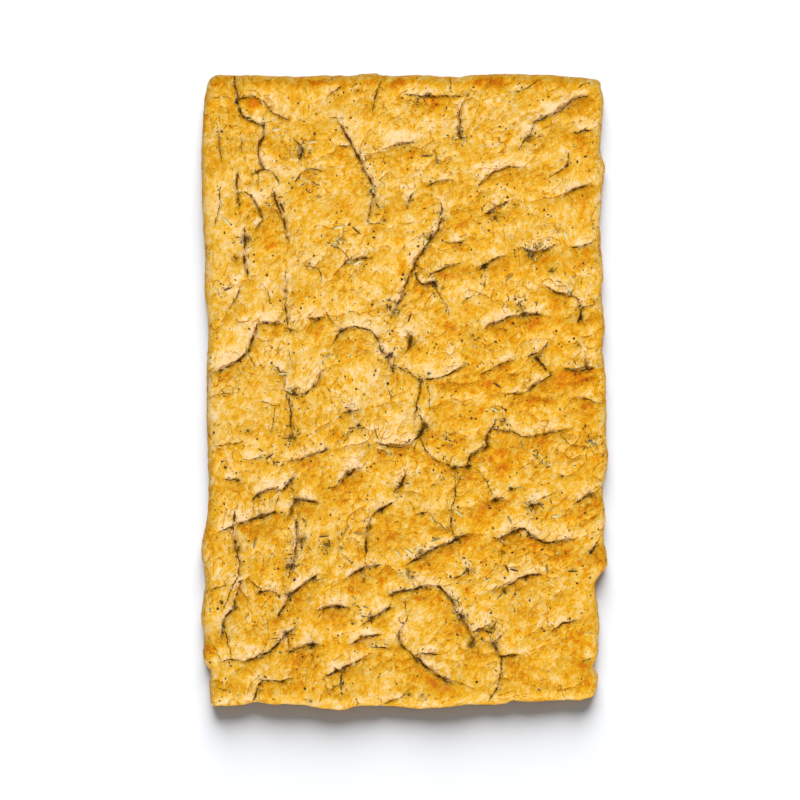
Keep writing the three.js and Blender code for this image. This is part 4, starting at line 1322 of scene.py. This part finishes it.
def build_herb_material():
    material, tree, shader = new_material("dried_rosemary")
    fibre = patches_in(tree, *FIBRE)
    shift = calc(tree, "MULTIPLY", calc(tree, "SUBTRACT", fibre, NOISE_MIDDLE), FIBRE_SHIFT)
    colour = ramp(tree, calc(tree, "ADD", stored(tree, "tone"), shift), TONE_COLOURS)
    tree.links.new(colour, shader.inputs["Base Color"])
    shader.inputs["Roughness"].default_value = HERB_ROUGHNESS
    bump = add(tree, "ShaderNodeBump", inputs={
        "Strength": HERB_RELIEF[0], "Distance": HERB_RELIEF[1], "Height": fibre}).outputs[0]
    tree.links.new(bump, shader.inputs["Normal"])
    return material


herb_material = build_herb_material()
for piece in (needles_piece, broken_piece, specks_piece):
    piece.data.materials.append(herb_material)
    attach(piece, "root")
    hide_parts(NODE)
print("herbs have", herb_material.name)

# %% [markdown]
# The studio is a pale table with the camera straight above. A lamp that rakes over the crust
# from the bottom of the picture draws out its relief, with a softer one above to fill. Below
# the bread the picture has a soft shadow, which needs a lamp on the other side. Lamps can be
# told what they light: a wide one north of the bread and a wider one above it light the table
# alone, and the other two light the bread alone, so neither spoils the other's work. The white
# world fills in. The wide lamps are suns, whose size is an angle, so they light all of the table
# evenly; the upper one leaves the soft shadow along the sides of the bread. The table is a
# pale grey under a strong lamp, and not white under a weak one, because a white table would
# also show the orange light that the bread throws onto it, right in the shadow.

# %% Table
TABLE_HALF = 3.0
TABLE_COLOUR = (0.44, 0.447, 0.462, 1)
TABLE_ROUGHNESS = 0.9


def make_table():
    bm = bmesh.new()
    bmesh.ops.create_grid(bm, x_segments=1, y_segments=1, size=TABLE_HALF)
    piece = new_object("table", bm)
    material, tree, shader = new_material("pale_table")
    shader.inputs["Base Color"].default_value = TABLE_COLOUR
    shader.inputs["Roughness"].default_value = TABLE_ROUGHNESS
    shader.inputs["Specular IOR Level"].default_value = 0.0
    piece.data.materials.append(material)
    return piece


table = make_table()
print("table", 2 * TABLE_HALF, "m wide")

# %% Lamps and world
NORTH_TILT = math.radians(60)   # from straight above
SUN_AWAY = 2.0                  # only its direction matters
WORLD_STRENGTH = 0.16


def lamp(name, kind, place, power, lit):
    """A lamp that looks at the bread and lights only the given pieces."""
    light = bpy.data.lights.new(name, kind)
    light.energy = power
    made = bpy.data.objects.new(name, light)
    made.location = place
    made.rotation_euler = (-Vector(place)).to_track_quat("-Z", "Y").to_euler()
    made.visible_camera = False
    bpy.context.scene.collection.objects.link(made)
    receivers = bpy.data.collections.new(name + "_lights")
    for piece in lit:
        receivers.objects.link(piece)
    made.light_linking.receiver_collection = receivers
    return light


def sun(name, place, degrees, power, lit):
    lamp(name, "SUN", place, power, lit).angle = math.radians(degrees)


def softbox(name, place, size, power, lit):
    light = lamp(name, "AREA", place, power, lit)
    light.shape = "DISK"
    light.size = size


bread = (crust_piece, needles_piece, broken_piece, specks_piece)
sun("north_light", (0.0, SUN_AWAY * math.sin(NORTH_TILT), SUN_AWAY * math.cos(NORTH_TILT)),
    degrees=44, power=11.9, lit=[table])
sun("high_light", (0.0, 0.0, SUN_AWAY), degrees=130, power=0.85, lit=[table])
softbox("top_softbox", (0.0, 0.4, 1.5), size=0.7, power=15.1, lit=bread)
softbox("raking_softbox", (0.4, -2.6, 1.55), size=0.6, power=55.5, lit=bread)
world = bpy.data.worlds.new("studio")
world.use_nodes = True
world.node_tree.nodes["Background"].inputs["Color"].default_value = (1, 1, 1, 1)
world.node_tree.nodes["Background"].inputs["Strength"].default_value = WORLD_STRENGTH
scene = bpy.context.scene
scene.world = world
scene.view_settings.view_transform = "Standard"
scene.view_settings.look = "None"
print(len(bpy.data.lights), "lamps")

# %% [markdown]
# The photograph looks straight down from so far away that the bread's sides hardly show. The
# lens follows from the scale: nine tenths of a millimetre to a pixel, read off the rosemary.

# %% Camera
PHOTO_SIDE = 800            # pixels
MM_PER_PIXEL = 0.9
BREAD_PIXEL = (404.5, 391.5)    # where the middle of the bread lies in the photograph
CAMERA_HEIGHT = 3.0         # metres over the crust
SENSOR = 36                 # millimetres

camera_data = bpy.data.cameras.new("camera")
camera_data.sensor_width = SENSOR
frame_width = PHOTO_SIDE * MM_PER_PIXEL * MM
camera_data.lens = SENSOR * CAMERA_HEIGHT / frame_width
camera = bpy.data.objects.new("camera", camera_data)
camera.location = ((PHOTO_SIDE / 2 - BREAD_PIXEL[0]) * MM_PER_PIXEL * MM,
                   (BREAD_PIXEL[1] - PHOTO_SIDE / 2) * MM_PER_PIXEL * MM,
                   CAMERA_HEIGHT + cad_box[1][2])
scene.collection.objects.link(camera)
scene.camera = camera
print("camera at", [round(c, 3) for c in camera.location], "lens", round(camera_data.lens, 1))
